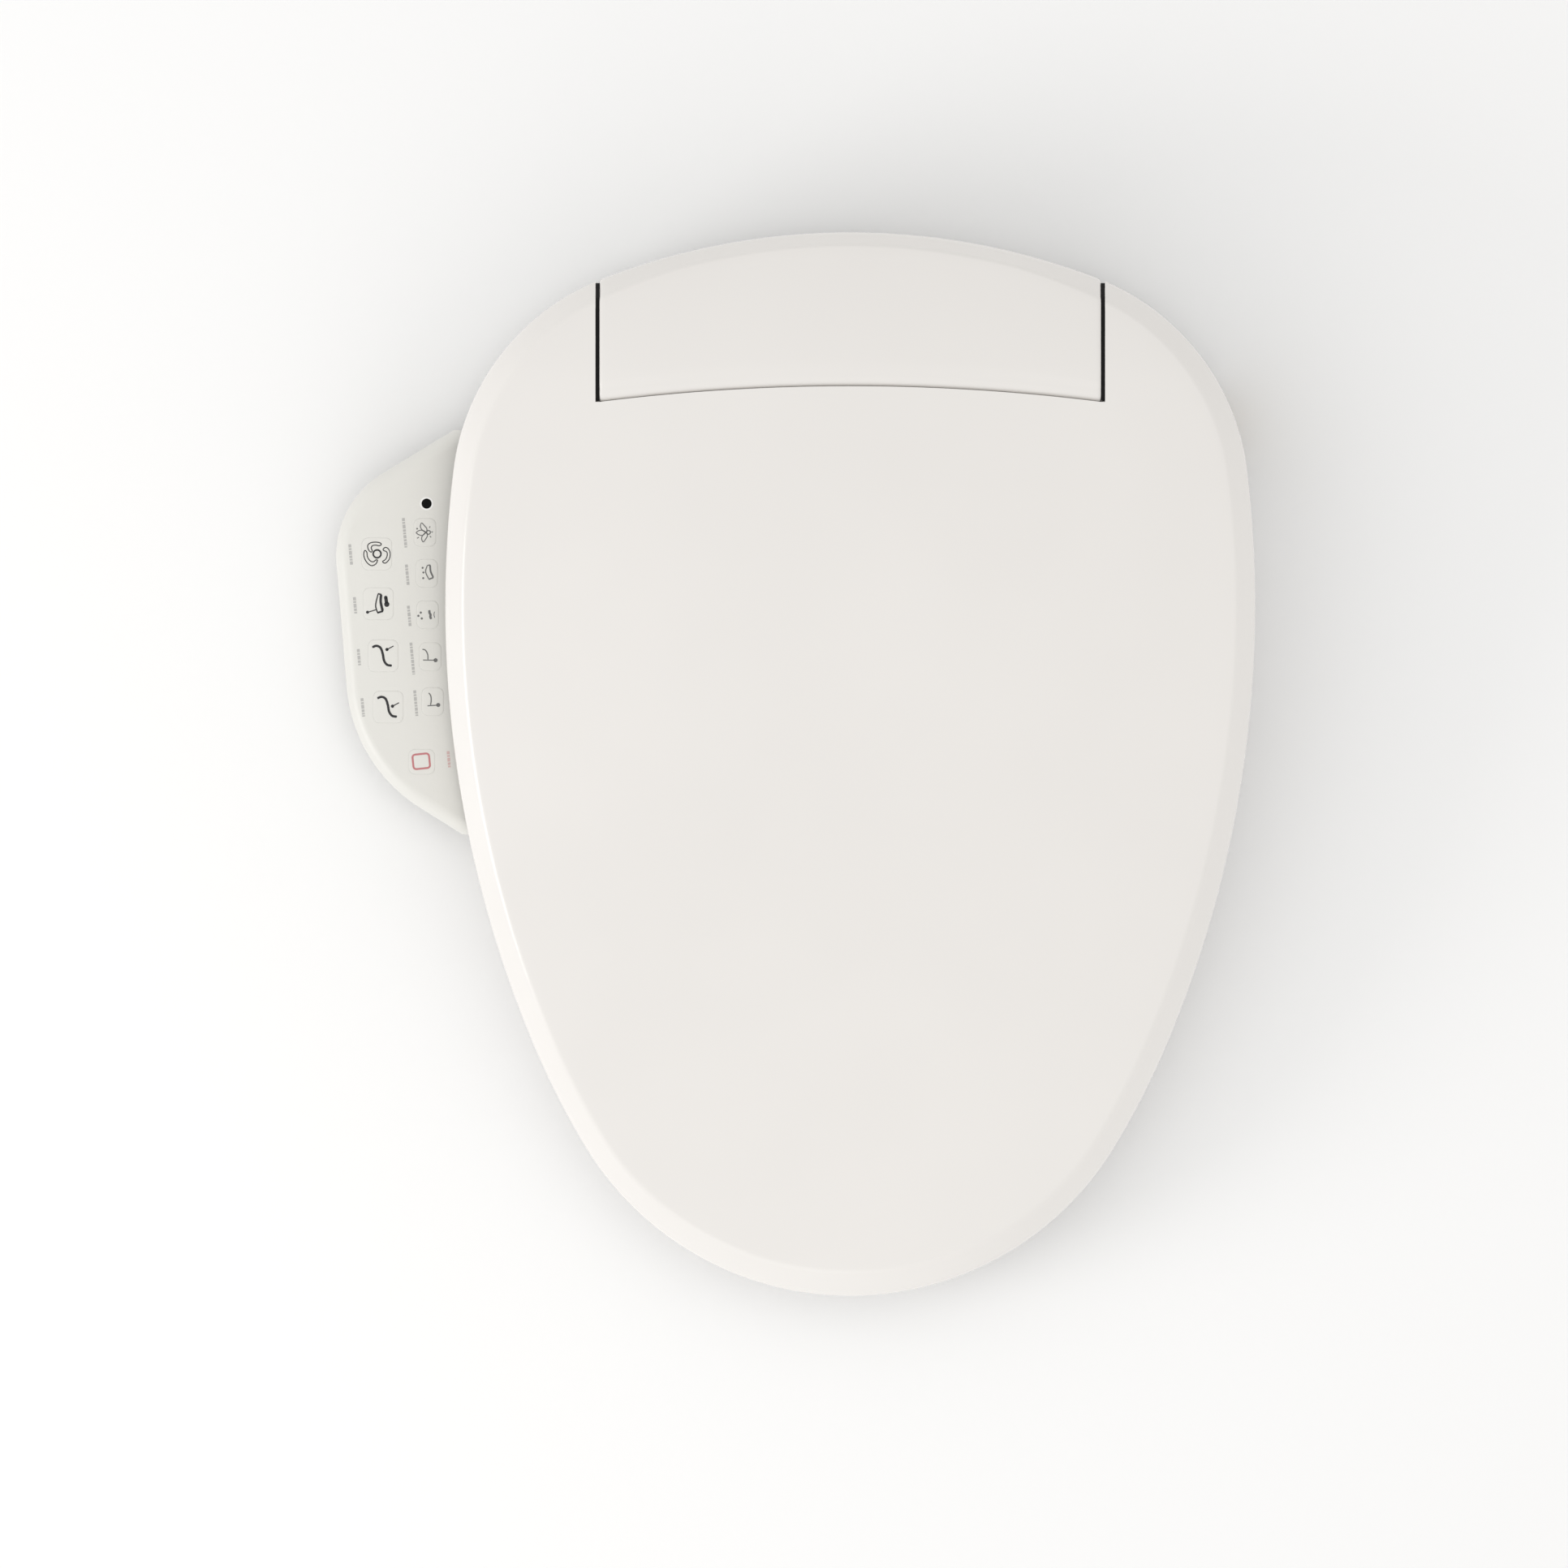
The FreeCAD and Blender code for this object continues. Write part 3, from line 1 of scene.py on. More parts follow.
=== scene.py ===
"""Electric bidet seat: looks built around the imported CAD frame.

The frame is the CAD's: the origin is midway between the deck bolts, +Z up, -Y the nose, and the
control panel on the -X side. Shapes are worked out in millimetres and new_object() and carve()
turn them into metres.
"""
import json
import math

import bmesh
import bpy
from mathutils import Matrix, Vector
from mathutils.geometry import intersect_line_line_2d


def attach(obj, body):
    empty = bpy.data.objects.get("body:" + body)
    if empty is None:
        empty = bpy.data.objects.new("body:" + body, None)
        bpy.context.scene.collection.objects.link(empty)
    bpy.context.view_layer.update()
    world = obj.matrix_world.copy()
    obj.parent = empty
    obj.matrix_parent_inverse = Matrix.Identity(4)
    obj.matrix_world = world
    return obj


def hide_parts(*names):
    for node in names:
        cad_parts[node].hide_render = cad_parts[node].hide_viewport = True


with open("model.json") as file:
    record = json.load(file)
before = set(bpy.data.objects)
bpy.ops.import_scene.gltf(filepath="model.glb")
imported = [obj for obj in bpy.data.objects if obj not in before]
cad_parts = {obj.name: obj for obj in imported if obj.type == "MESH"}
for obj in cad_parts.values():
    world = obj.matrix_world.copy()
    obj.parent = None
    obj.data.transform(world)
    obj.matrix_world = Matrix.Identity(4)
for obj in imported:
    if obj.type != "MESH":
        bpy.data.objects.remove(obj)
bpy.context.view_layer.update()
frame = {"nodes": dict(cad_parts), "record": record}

MM = 0.001

# ---------------------------------------------------------------- outlines and surfaces, in mm

REAR_EDGE_Y = 47.0
# the right half of the plan outline from the rear middle: radius and turn in degrees of each arc
ARC_CHAIN = ((339.1, 21.02), (116.4, 62.06), (558.4, 29.84), (382.3, 8.22))
HUMP_Z, HUMP_Y = 127.0, -20.0
NOSE_Z, NOSE_Y = 55.0, -477.0
FALL_POWER = 1.3
CROWN_DROP, CROWN_HALF = 9.0, 200.0
REAR_FALL = 0.0015
BEVEL = 9.0
# width of the bevel in plan, by share of the way from the rear middle to the nose
BEVEL_WIDTHS = ((0.0, 6.4), (0.1, 6.9), (0.18, 9.0), (0.28, 9.6), (0.4, 8.8), (0.8, 9.6),
                (0.92, 11.4), (1.0, 12.0))
SLIT_INNER, SLIT_OUTER = 123.4, 125.4
SEAM_CENTRE_Y, SEAM_END_Y = -28.8, -36.5
SEAM_GAP = 0.09
HINGE_Y, HINGE_Z = 3.0, 100.0
PIN_HOLE = 4.55
HOUSING_SPLIT = 72.0
# the lid's lower edge seen from the side, as (y, z)
RIM = ((-520, 20), (-250, 50), (-47, 64), (5, 88), (80, 88))


def hood_arcs():
    """Centres, radii and angles of the right half's tangent arcs, rear to nose."""
    arcs = []
    angle = math.pi / 2
    joint = Vector((0, REAR_EDGE_Y))
    for radius, turn in ARC_CHAIN:
        centre = joint - Vector((math.cos(angle), math.sin(angle))) * radius
        arcs.append((centre, radius, angle, angle - math.radians(turn)))
        angle -= math.radians(turn)
        joint = centre + Vector((math.cos(angle), math.sin(angle))) * radius
    nose = joint.x / math.cos(angle)
    centre = joint - Vector((math.cos(angle), math.sin(angle))) * nose
    arcs.append((centre, nose, angle, -math.pi / 2))
    return arcs


ARCS = hood_arcs()


def hood_points(count):
    """(point, inward normal) pairs round the whole hood outline, clockwise from the rear middle."""
    lengths = [radius * (start - end) for _, radius, start, end in ARCS]
    total = sum(lengths)
    right = []
    for k in range(count // 2 + 1):
        run = total * k / (count // 2)
        for index, (centre, radius, start, _) in enumerate(ARCS):
            if run <= lengths[index] + 1e-9 or index == len(ARCS) - 1:
                angle = start - run / radius
                way = Vector((math.cos(angle), math.sin(angle)))
                right.append((centre + way * radius, -way))
                break
            run -= lengths[index]
    left = [(Vector((-p.x, p.y)), Vector((-n.x, n.y))) for p, n in reversed(right[1:-1])]
    return right + left


HALF_LENGTH = sum(radius * (start - end) for _, radius, start, end in ARCS)


def bevel_stretch(x, y):
    """How wide the bevel is in plan beside this edge point, as a share of its drop."""
    run, part = 0.0, 1.0
    for centre, radius, start, end in ARCS:
        angle = math.atan2(y - centre.y, abs(x) - centre.x)
        if angle >= end - 1e-6:
            part = (run + radius * max(start - angle, 0.0)) / HALF_LENGTH
            break
        run += radius * (start - end)
    part = min(max(part, 0.0), 1.0)
    for (t0, w0), (t1, w1) in zip(BEVEL_WIDTHS, BEVEL_WIDTHS[1:]):
        if part <= t1:
            blend = (part - t0) / (t1 - t0)
            blend = blend * blend * (3 - 2 * blend)
            return (w0 + (w1 - w0) * blend) / BEVEL
    return BEVEL_WIDTHS[-1][1] / BEVEL


def hood_top(x, y):
    """Height of the crowned top over a point of the plan."""
    drop = CROWN_DROP * (x / CROWN_HALF) ** 2
    if y > HUMP_Y:
        return HUMP_Z - drop - REAR_FALL * (y - HUMP_Y) ** 2
    part = (HUMP_Y - y) / (HUMP_Y - NOSE_Y)
    return HUMP_Z - drop - (HUMP_Z - NOSE_Z) * part ** FALL_POWER


def rim_z(y):
    """Height of the lid's lower edge at this y."""
    for (y0, z0), (y1, z1) in zip(RIM, RIM[1:]):
        if y <= y1:
            return z0 + (z1 - z0) * (y - y0) / (y1 - y0)
    return RIM[-1][1]


def seam_y(x):
    """The seam between lid and rear cover: a shallow arc through three points."""
    rise = SEAM_CENTRE_Y - SEAM_END_Y
    radius = (SLIT_INNER ** 2 + rise ** 2) / (2 * rise)
    return SEAM_CENTRE_Y - radius + math.sqrt(radius ** 2 - min(abs(x), SLIT_INNER) ** 2)


def panel_top(x, y):
    """Height of the control panel's crowned top."""
    return 55.0 - 0.04 * (-60 - y) - 0.0022 * (x + 196) ** 2


def bent(corner_in, corner, corner_out, steps):
    """Points of a soft corner between two points, as a quadratic curve."""
    out = []
    for i in range(steps + 1):
        t = i / steps
        out.append(tuple((1 - t) ** 2 * a + 2 * t * (1 - t) * b + t * t * c
                         for a, b, c in zip(corner_in, corner, corner_out)))
    return out


def half_outline_y(x, depth):
    """Rear edge of the hood outline moved in by depth, at this x."""
    side = abs(x)
    centre, radius, _, end = ARCS[0]
    if side > (radius - depth) * math.cos(end):
        centre, radius, _, _ = ARCS[1]
    reach = radius - depth
    return centre.y + math.sqrt(reach ** 2 - (side - centre.x) ** 2)


def bevel_drop(x, y):
    """How far the bevel lowers the surface at this point near the rear edge."""
    outline_y = half_outline_y(x, 0)
    depth = (outline_y - y) / bevel_stretch(x, outline_y)
    return max(BEVEL - depth, 0.0)


def bevel_profile(bevel):
    """(depth, drop) pairs from the crowned top out over the bevel to the upright wall."""
    profile = [(0.0, bevel + 2.6)]
    profile += bent((0.0, bevel + 2.6), (0.0, bevel), (1.8, bevel - 1.8), 5)[1:]
    profile += [(bevel * 0.5, bevel * 0.5)]
    profile += bent((bevel - 1.3, 1.3), (bevel, 0.0), (bevel + 1.6, 0.0), 6)
    profile += [(bevel + 7, 0.0), (bevel + 14, 0.0)]
    return profile


# ---------------------------------------------------------------- mesh helpers

def smooth_below(bm, angle):
    """Smooth shading everywhere except over edges sharper than the angle in degrees."""
    limit = math.radians(angle)
    for face in bm.faces:
        face.smooth = True
    for edge in bm.edges:
        edge.smooth = len(edge.link_faces) == 2 and edge.calc_face_angle(math.pi) < limit


def new_object(name, bm, material, smooth=50):
    """A mesh object from a bmesh drawn in mm, smooth-shaded below the given angle."""
    bmesh.ops.scale(bm, vec=(MM, MM, MM), verts=bm.verts)
    bmesh.ops.recalc_face_normals(bm, faces=bm.faces)
    smooth_below(bm, smooth)
    mesh = bpy.data.meshes.new(name)
    bm.to_mesh(mesh)
    bm.free()
    piece = bpy.data.objects.new(name, mesh)
    bpy.context.scene.collection.objects.link(piece)
    mesh.materials.append(material)
    return piece


def bridge_rings(bm, rings):
    """Quads between successive closed rings of vertices."""
    for lower, upper in zip(rings, rings[1:]):
        count = len(lower)
        for i in range(count):
            j = (i + 1) % count
            corners = [lower[i], lower[j], upper[j], upper[i]]
            unique = list(dict.fromkeys(corners))
            if len(unique) > 2:
                bm.faces.new(unique)


def loop_prism(bm, points, z0, z1):
    """A closed prism over a plan outline of (x, y) points."""
    low = [bm.verts.new((x, y, z0)) for x, y in points]
    high = [bm.verts.new((x, y, z1)) for x, y in points]
    bridge_rings(bm, [low, high])
    bm.faces.new(low)
    bm.faces.new(high)


def disc_points(u, v, radius, count):
    """Points of a circle in a plane."""
    turns = [2 * math.pi * k / count for k in range(count)]
    return [(u + radius * math.cos(a), v + radius * math.sin(a)) for a in turns]


def ring_prism(bm, x0, x1, points):
    """A closed prism along X over an outline of (y, z) points."""
    near = [bm.verts.new((x0, y, z)) for y, z in points]
    far = [bm.verts.new((x1, y, z)) for y, z in points]
    bridge_rings(bm, [near, far])
    bm.faces.new(near)
    bm.faces.new(far)


def bake_modifiers(piece):
    """Replaces the piece's mesh by what its modifiers make of it."""
    graph = bpy.context.evaluated_depsgraph_get()
    done = bpy.data.meshes.new_from_object(piece.evaluated_get(graph))
    old = piece.data
    piece.modifiers.clear()
    piece.data = done
    bpy.data.meshes.remove(old)


def combine(piece, other, operation):
    """Boolean of one object with another, which is used up."""
    modifier = piece.modifiers.new("combine", "BOOLEAN")
    modifier.operation = operation
    modifier.solver = "EXACT"
    modifier.object = other
    bake_modifiers(piece)
    mesh = other.data
    bpy.data.objects.remove(other)
    bpy.data.meshes.remove(mesh)


def carve(piece, tool_bm, operation="DIFFERENCE"):
    """Boolean of a piece with a tool drawn in mm."""
    bmesh.ops.scale(tool_bm, vec=(MM, MM, MM), verts=tool_bm.verts)
    bmesh.ops.recalc_face_normals(tool_bm, faces=tool_bm.faces)
    mesh = bpy.data.meshes.new("tool")
    tool_bm.to_mesh(mesh)
    tool_bm.free()
    tool = bpy.data.objects.new("tool", mesh)
    bpy.context.scene.collection.objects.link(tool)
    combine(piece, tool, operation)


def sharpen(piece, angle):
    """Cleans a carved mesh and shades it smooth below the given angle."""
    bm = bmesh.new()
    bm.from_mesh(piece.data)
    bmesh.ops.remove_doubles(bm, verts=bm.verts, dist=1e-6)
    crowded = [face for face in bm.faces if len(face.verts) > 4]
    bmesh.ops.triangulate(bm, faces=crowded)
    smooth_below(bm, angle)
    bm.to_mesh(piece.data)
    bm.free()


def settle(piece, body, slot, *nodes):
    """Attaches the piece to the body it rides and hides the CAD nodes it stands for; the slot is
    not used.
    """
    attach(piece, body)
    if nodes:
        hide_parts(*nodes)
    return piece


# ---------------------------------------------------------------- materials

def plastic(name, colour, rough, coat=0.0, grain=0.02, grain_size=900.0, bump=0.02, shade=0.02):
    """Moulded plastic: slow colour drift, fine surface grain and slightly uneven gloss."""
    material = bpy.data.materials.new(name)
    material.use_nodes = True
    nodes, links = material.node_tree.nodes, material.node_tree.links
    shader = nodes["Principled BSDF"]
    shader.inputs["Coat Weight"].default_value = coat
    shader.inputs["Coat Roughness"].default_value = 0.06
    place = nodes.new("ShaderNodeTexCoord")
    drift = nodes.new("ShaderNodeTexNoise")
    drift.inputs["Scale"].default_value = 7.0
    drift.inputs["Detail"].default_value = 3.0
    links.new(place.outputs["Object"], drift.inputs["Vector"])
    ramp = nodes.new("ShaderNodeValToRGB")
    ramp.color_ramp.elements[0].position = 0.3
    ramp.color_ramp.elements[1].position = 0.7
    low = [c * (1 - shade) for c in colour]
    high = [min(1, c * (1 + shade * 0.5)) for c in colour]
    ramp.color_ramp.elements[0].color = (*low, 1)
    ramp.color_ramp.elements[1].color = (*high, 1)
    links.new(drift.outputs["Fac"], ramp.inputs["Fac"])
    links.new(ramp.outputs["Color"], shader.inputs["Base Color"])
    grain_noise = nodes.new("ShaderNodeTexNoise")
    grain_noise.inputs["Scale"].default_value = grain_size
    grain_noise.inputs["Detail"].default_value = 2.0
    links.new(place.outputs["Object"], grain_noise.inputs["Vector"])
    gloss = nodes.new("ShaderNodeMapRange")
    gloss.inputs["To Min"].default_value = max(rough - grain, 0.02)
    gloss.inputs["To Max"].default_value = rough + grain
    links.new(drift.outputs["Fac"], gloss.inputs["Value"])
    links.new(gloss.outputs["Result"], shader.inputs["Roughness"])
    ripple = nodes.new("ShaderNodeBump")
    ripple.inputs["Strength"].default_value = bump
    ripple.inputs["Distance"].default_value = 0.0002
    links.new(grain_noise.outputs["Fac"], ripple.inputs["Height"])
    links.new(ripple.outputs["Normal"], shader.inputs["Normal"])
    return material


def metal(name, colour, rough):
    """Turned or drawn metal: coarser marks and a more uneven gloss than plastic."""
    material = plastic(name, colour, rough, grain=0.06, shade=0.08, bump=0.05, grain_size=400.0)
    material.node_tree.nodes["Principled BSDF"].inputs["Metallic"].default_value = 1.0
    return material


WARM_WHITE = (0.80, 0.777, 0.751)
lid_white = plastic("lid_white", WARM_WHITE, 0.22, coat=0.35)
cover_white = plastic("cover_white", WARM_WHITE, 0.22, coat=0.35)
seat_white = plastic("seat_white", (0.86, 0.835, 0.81), 0.2, coat=0.3)
panel_white = plastic("panel_white", (0.735, 0.727, 0.690), 0.38, coat=0.05)
ring_white = plastic("ring_white", (0.86, 0.855, 0.84), 0.4)
# near-black for the strips in the slits: painted shade that stands for the dark depth of the gaps
slit_shade_black = plastic("slit_shade_black", (0.002, 0.002, 0.002), 0.95)
chassis_grey = plastic("chassis_grey", (0.66, 0.655, 0.64), 0.5, bump=0.15)
works_grey = plastic("works_grey", (0.16, 0.165, 0.17), 0.5, bump=0.15)
acetal_black = plastic("acetal_black", (0.03, 0.03, 0.032), 0.38, bump=0.05)
window_black = plastic("window_black", (0.002, 0.002, 0.002), 0.7)
window_black.node_tree.nodes["Principled BSDF"].inputs["Specular IOR Level"].default_value = 0.15
rubber_grey = plastic("rubber_grey", (0.33, 0.33, 0.32), 0.75, bump=0.2)
hose_silicone = plastic("hose_silicone", (0.62, 0.63, 0.61), 0.4)
board_green = plastic("board_green", (0.03, 0.16, 0.07), 0.4, coat=0.3, shade=0.15)
ink_dark = plastic("ink_dark", (0.018, 0.018, 0.02), 0.6)
ink_grey = plastic("ink_grey", (0.15, 0.15, 0.148), 0.6)
ink_faint = plastic("ink_faint", (0.47, 0.465, 0.45), 0.5)
ink_red = plastic("ink_red", (0.52, 0.19, 0.20), 0.45)
ink_pink = plastic("ink_pink", (0.66, 0.47, 0.45), 0.5)
steel = metal("steel", (0.56, 0.56, 0.57), 0.3)
stainless = metal("stainless", (0.66, 0.66, 0.67), 0.2)
brass = metal("brass", (0.72, 0.52, 0.24), 0.28)
copper = metal("copper", (0.42, 0.17, 0.08), 0.35)
foil = metal("foil", (0.7, 0.7, 0.7), 0.4)

SLOT_LOOKS = {
    "shell_white": cover_white, "panel_white": panel_white, "seat_white": seat_white,
    "key_white": panel_white, "window_black": window_black, "frame_grey": chassis_grey,
    "inner_grey": works_grey, "rubber_grey": rubber_grey, "steel": steel, "stainless": stainless,
    "brass": brass, "copper_coil": copper, "board_green": board_green,
    "hose_clear": hose_silicone, "heater_foil": foil, "damper_black": acetal_black,
}
# every node from the frame gets the finish of its slot
for entry in frame["record"]["subparts"]:
    node = frame["nodes"][entry["node"]]
    look = SLOT_LOOKS[entry["material_slot"]]
    node.data.materials.clear()
    node.data.materials.append(look)

# ---------------------------------------------------------------- camera, light and floor

# a long lens straight above, because the view is a straight top view with no perspective to see
FRAME_WIDTH = 0.7728
VIEW_CENTRE = Vector((-0.0326, -0.2246, 0.085))
camera_data = bpy.data.cameras.new("camera")
camera_data.lens = 1000
camera_data.sensor_width = 36
camera_data.clip_end = 60
camera = bpy.data.objects.new("camera", camera_data)
bpy.context.scene.collection.objects.link(camera)
bpy.context.scene.camera = camera
distance = FRAME_WIDTH * camera_data.lens / camera_data.sensor_width
camera.location = VIEW_CENTRE + Vector((0, 0, distance))

LIGHT_TINT = (1, 0.995, 0.985)
LIGHT_SIZE = 1.2
LIGHT_AIM = Vector((0, -0.22, 0.08))
SKY_FRONT, SKY_REAR = 1.03, 0.83


def area_light(name, place, power):
    """A soft round light that looks at the middle of the object."""
    data = bpy.data.lights.new(name, "AREA")
    data.shape = "DISK"
    data.size = LIGHT_SIZE
    data.energy = power
    data.color = LIGHT_TINT
    lamp = bpy.data.objects.new(name, data)
    lamp.location = place
    lamp.rotation_euler = (LIGHT_AIM - Vector(place)).to_track_quat("-Z", "Y").to_euler()
    bpy.context.scene.collection.objects.link(lamp)


area_light("key", (-2.1, -0.9, 1.0), 13)
area_light("front", (-0.4, -2.2, 1.0), 1.2)

# the sky is a little brighter towards the nose than behind the hinge
world = bpy.data.worlds.new("studio")
bpy.context.scene.world = world
world.use_nodes = True
sky = world.node_tree.nodes["Background"]
sky.inputs["Color"].default_value = (*LIGHT_TINT, 1)
sky_place = world.node_tree.nodes.new("ShaderNodeTexCoord")
sky_split = world.node_tree.nodes.new("ShaderNodeSeparateXYZ")
sky_range = world.node_tree.nodes.new("ShaderNodeMapRange")
sky_range.inputs["From Min"].default_value = -1
sky_range.inputs["To Min"].default_value = SKY_FRONT
sky_range.inputs["To Max"].default_value = SKY_REAR
world.node_tree.links.new(sky_place.outputs["Generated"], sky_split.inputs["Vector"])
world.node_tree.links.new(sky_split.outputs["Y"], sky_range.inputs["Value"])
world.node_tree.links.new(sky_range.outputs["Result"], sky.inputs["Strength"])
bpy.context.scene.view_settings.view_transform = "Standard"

floor_bm = bmesh.new()
bmesh.ops.create_grid(floor_bm, x_segments=2, y_segments=2, size=4000)
floor_white = plastic("floor_white", (0.95, 0.95, 0.95), 0.9, bump=0.0, shade=0.0)
floor = new_object("floor", floor_bm, floor_white)
floor.location.z = -0.3 * MM

# ---------------------------------------------------------------- lid

AROUND, WALL_STEPS, TOP_STEPS = 360, 8, 14
SPINE_FRONT, SPINE_REAR = -330, -90
LID_WALL, INNER_BEVEL, RIM_RISE = 3.0, 7.2, 1.2
LID_BOSS_INNER, LID_BOSS_OUTER, LID_BOSS_RADIUS = 136, 146, 8
# the lips end this far short of the outline at the back
LIP_FAR, LIP_DEPTH, LIP_SUNK, LIP_SHORT, LIP_STEPS = 127.9, 10, 1.5, 1.6, 24


def hood_shell(outline, inset, bevel):
    """Rings of the hood's skin from its rim up over the bevel to the top's spine.

    The skin is moved in and down by inset. Each ring is a list of (x, y, z).
    """
    profile = bevel_profile(bevel)
    rings = []
    for k in range(WALL_STEPS):
        ring = []
        for point, inward in outline:
            spot = point + inward * inset
            high = hood_top(*spot) - inset - profile[0][1]
            low = rim_z(spot.y) + RIM_RISE
            ring.append((spot.x, spot.y, low + (high - low) * k / WALL_STEPS))
        rings.append(ring)
    stretches = [bevel_stretch(*point) for point, _ in outline]
    for depth, drop in profile:
        ring = []
        for (point, inward), stretch in zip(outline, stretches):
            spot = point + inward * (inset + depth * stretch)
            ring.append((spot.x, spot.y, hood_top(*spot) - inset - drop))
        rings.append(ring)
    last = rings[-1]
    for k in range(1, TOP_STEPS + 1):
        share = k / TOP_STEPS
        ring = []
        for x, y, _ in last:
            spine_y = min(max(y, SPINE_FRONT), SPINE_REAR)
            px, py = x * (1 - share), y + (spine_y - y) * share
            ring.append((px, py, hood_top(px, py) - inset))
        rings.append(ring)
    return rings


def make_lid():
    """The lid: outer skin, inner skin and rolled rim, with the rear cover's bay cut out."""
    outline = hood_points(AROUND)
    outer = hood_shell(outline, 0, BEVEL)
    inner = hood_shell(outline, LID_WALL, INNER_BEVEL)
    rim = []
    for depth, drop in ((2.65, 0.35), (1.5, 0.0), (0.35, 0.35)):
        rim.append([(p.x + n.x * depth, p.y + n.y * depth, rim_z(p.y) + drop) for p, n in outline])
    rings = list(reversed(inner)) + rim + outer
    bm = bmesh.new()
    layers = [[bm.verts.new(spot) for spot in ring] for ring in rings]
    bridge_rings(bm, layers)
    bmesh.ops.remove_doubles(bm, verts=bm.verts, dist=0.02)
    piece = new_object("lid_shell", bm, lid_white, 40)
    # the bay for the rear cover, open to the back
    bay = bmesh.new()
    half = SLIT_OUTER
    plan = [(half, 90), (half, SEAM_END_Y - SEAM_GAP)]
    plan += [(x, seam_y(x) - SEAM_GAP) for x in [SLIT_INNER * (1 - 2 * k / 48) for k in range(49)]]
    plan += [(-half, SEAM_END_Y - SEAM_GAP), (-half, 90)]
    loop_prism(bay, plan, -10, 200)
    carve(piece, bay)
    # the hinge bosses, webs that join them to the skin, and lips along the slits
    ears = bmesh.new()
    eye = disc_points(HINGE_Y, HINGE_Z, LID_BOSS_RADIUS, 40)
    for side in (-1, 1):
        ring_prism(ears, side * LID_BOSS_INNER, side * LID_BOSS_OUTER, eye)
    carve(piece, ears, "UNION")
    webs = bmesh.new()
    web = [(HINGE_Y - 6, HINGE_Z + 3), (HINGE_Y + 3, HINGE_Z + 3), (HINGE_Y + 1, HINGE_Z + 17),
           (HINGE_Y - 8, HINGE_Z + 17)]
    for side in (-1, 1):
        ring_prism(webs, side * (LID_BOSS_INNER + 1), side * (LID_BOSS_OUTER - 3), web)
    carve(piece, webs, "UNION")
    lips = bmesh.new()
    near, far = SLIT_OUTER + 0.05, LIP_FAR
    front, rear = seam_y(near) - SEAM_GAP, half_outline_y(far, LIP_SHORT)
    columns = [front + (rear - front) * k / LIP_STEPS for k in range(LIP_STEPS + 1)]
    surface = [(y, hood_top(far, y) - bevel_drop(far, y)) for y in columns]
    section = [(y, z - LIP_DEPTH) for y, z in surface]
    section += [(y, z - LIP_SUNK) for y, z in reversed(surface)]
    for side in (-1, 1):
        ring_prism(lips, side * near, side * far, section)
    carve(piece, lips, "UNION")
    pin = bmesh.new()
    ring_prism(pin, -150, 150, disc_points(HINGE_Y, HINGE_Z, PIN_HOLE, 40))
    carve(piece, pin)
    sharpen(piece, 35)
    return settle(piece, "lid", "shell_white", "lid")


make_lid()

# ---------------------------------------------------------------- rear cover

ROLL, ROLL_RISE = 6.5, 2.6
COVER_WALL, BUSH_HOLE = 2.5, 7
SLOPE_FOOT_Y, SHELF_Z = -59.1, 108.0
ACROSS, ROLL_STEPS = 96, 8


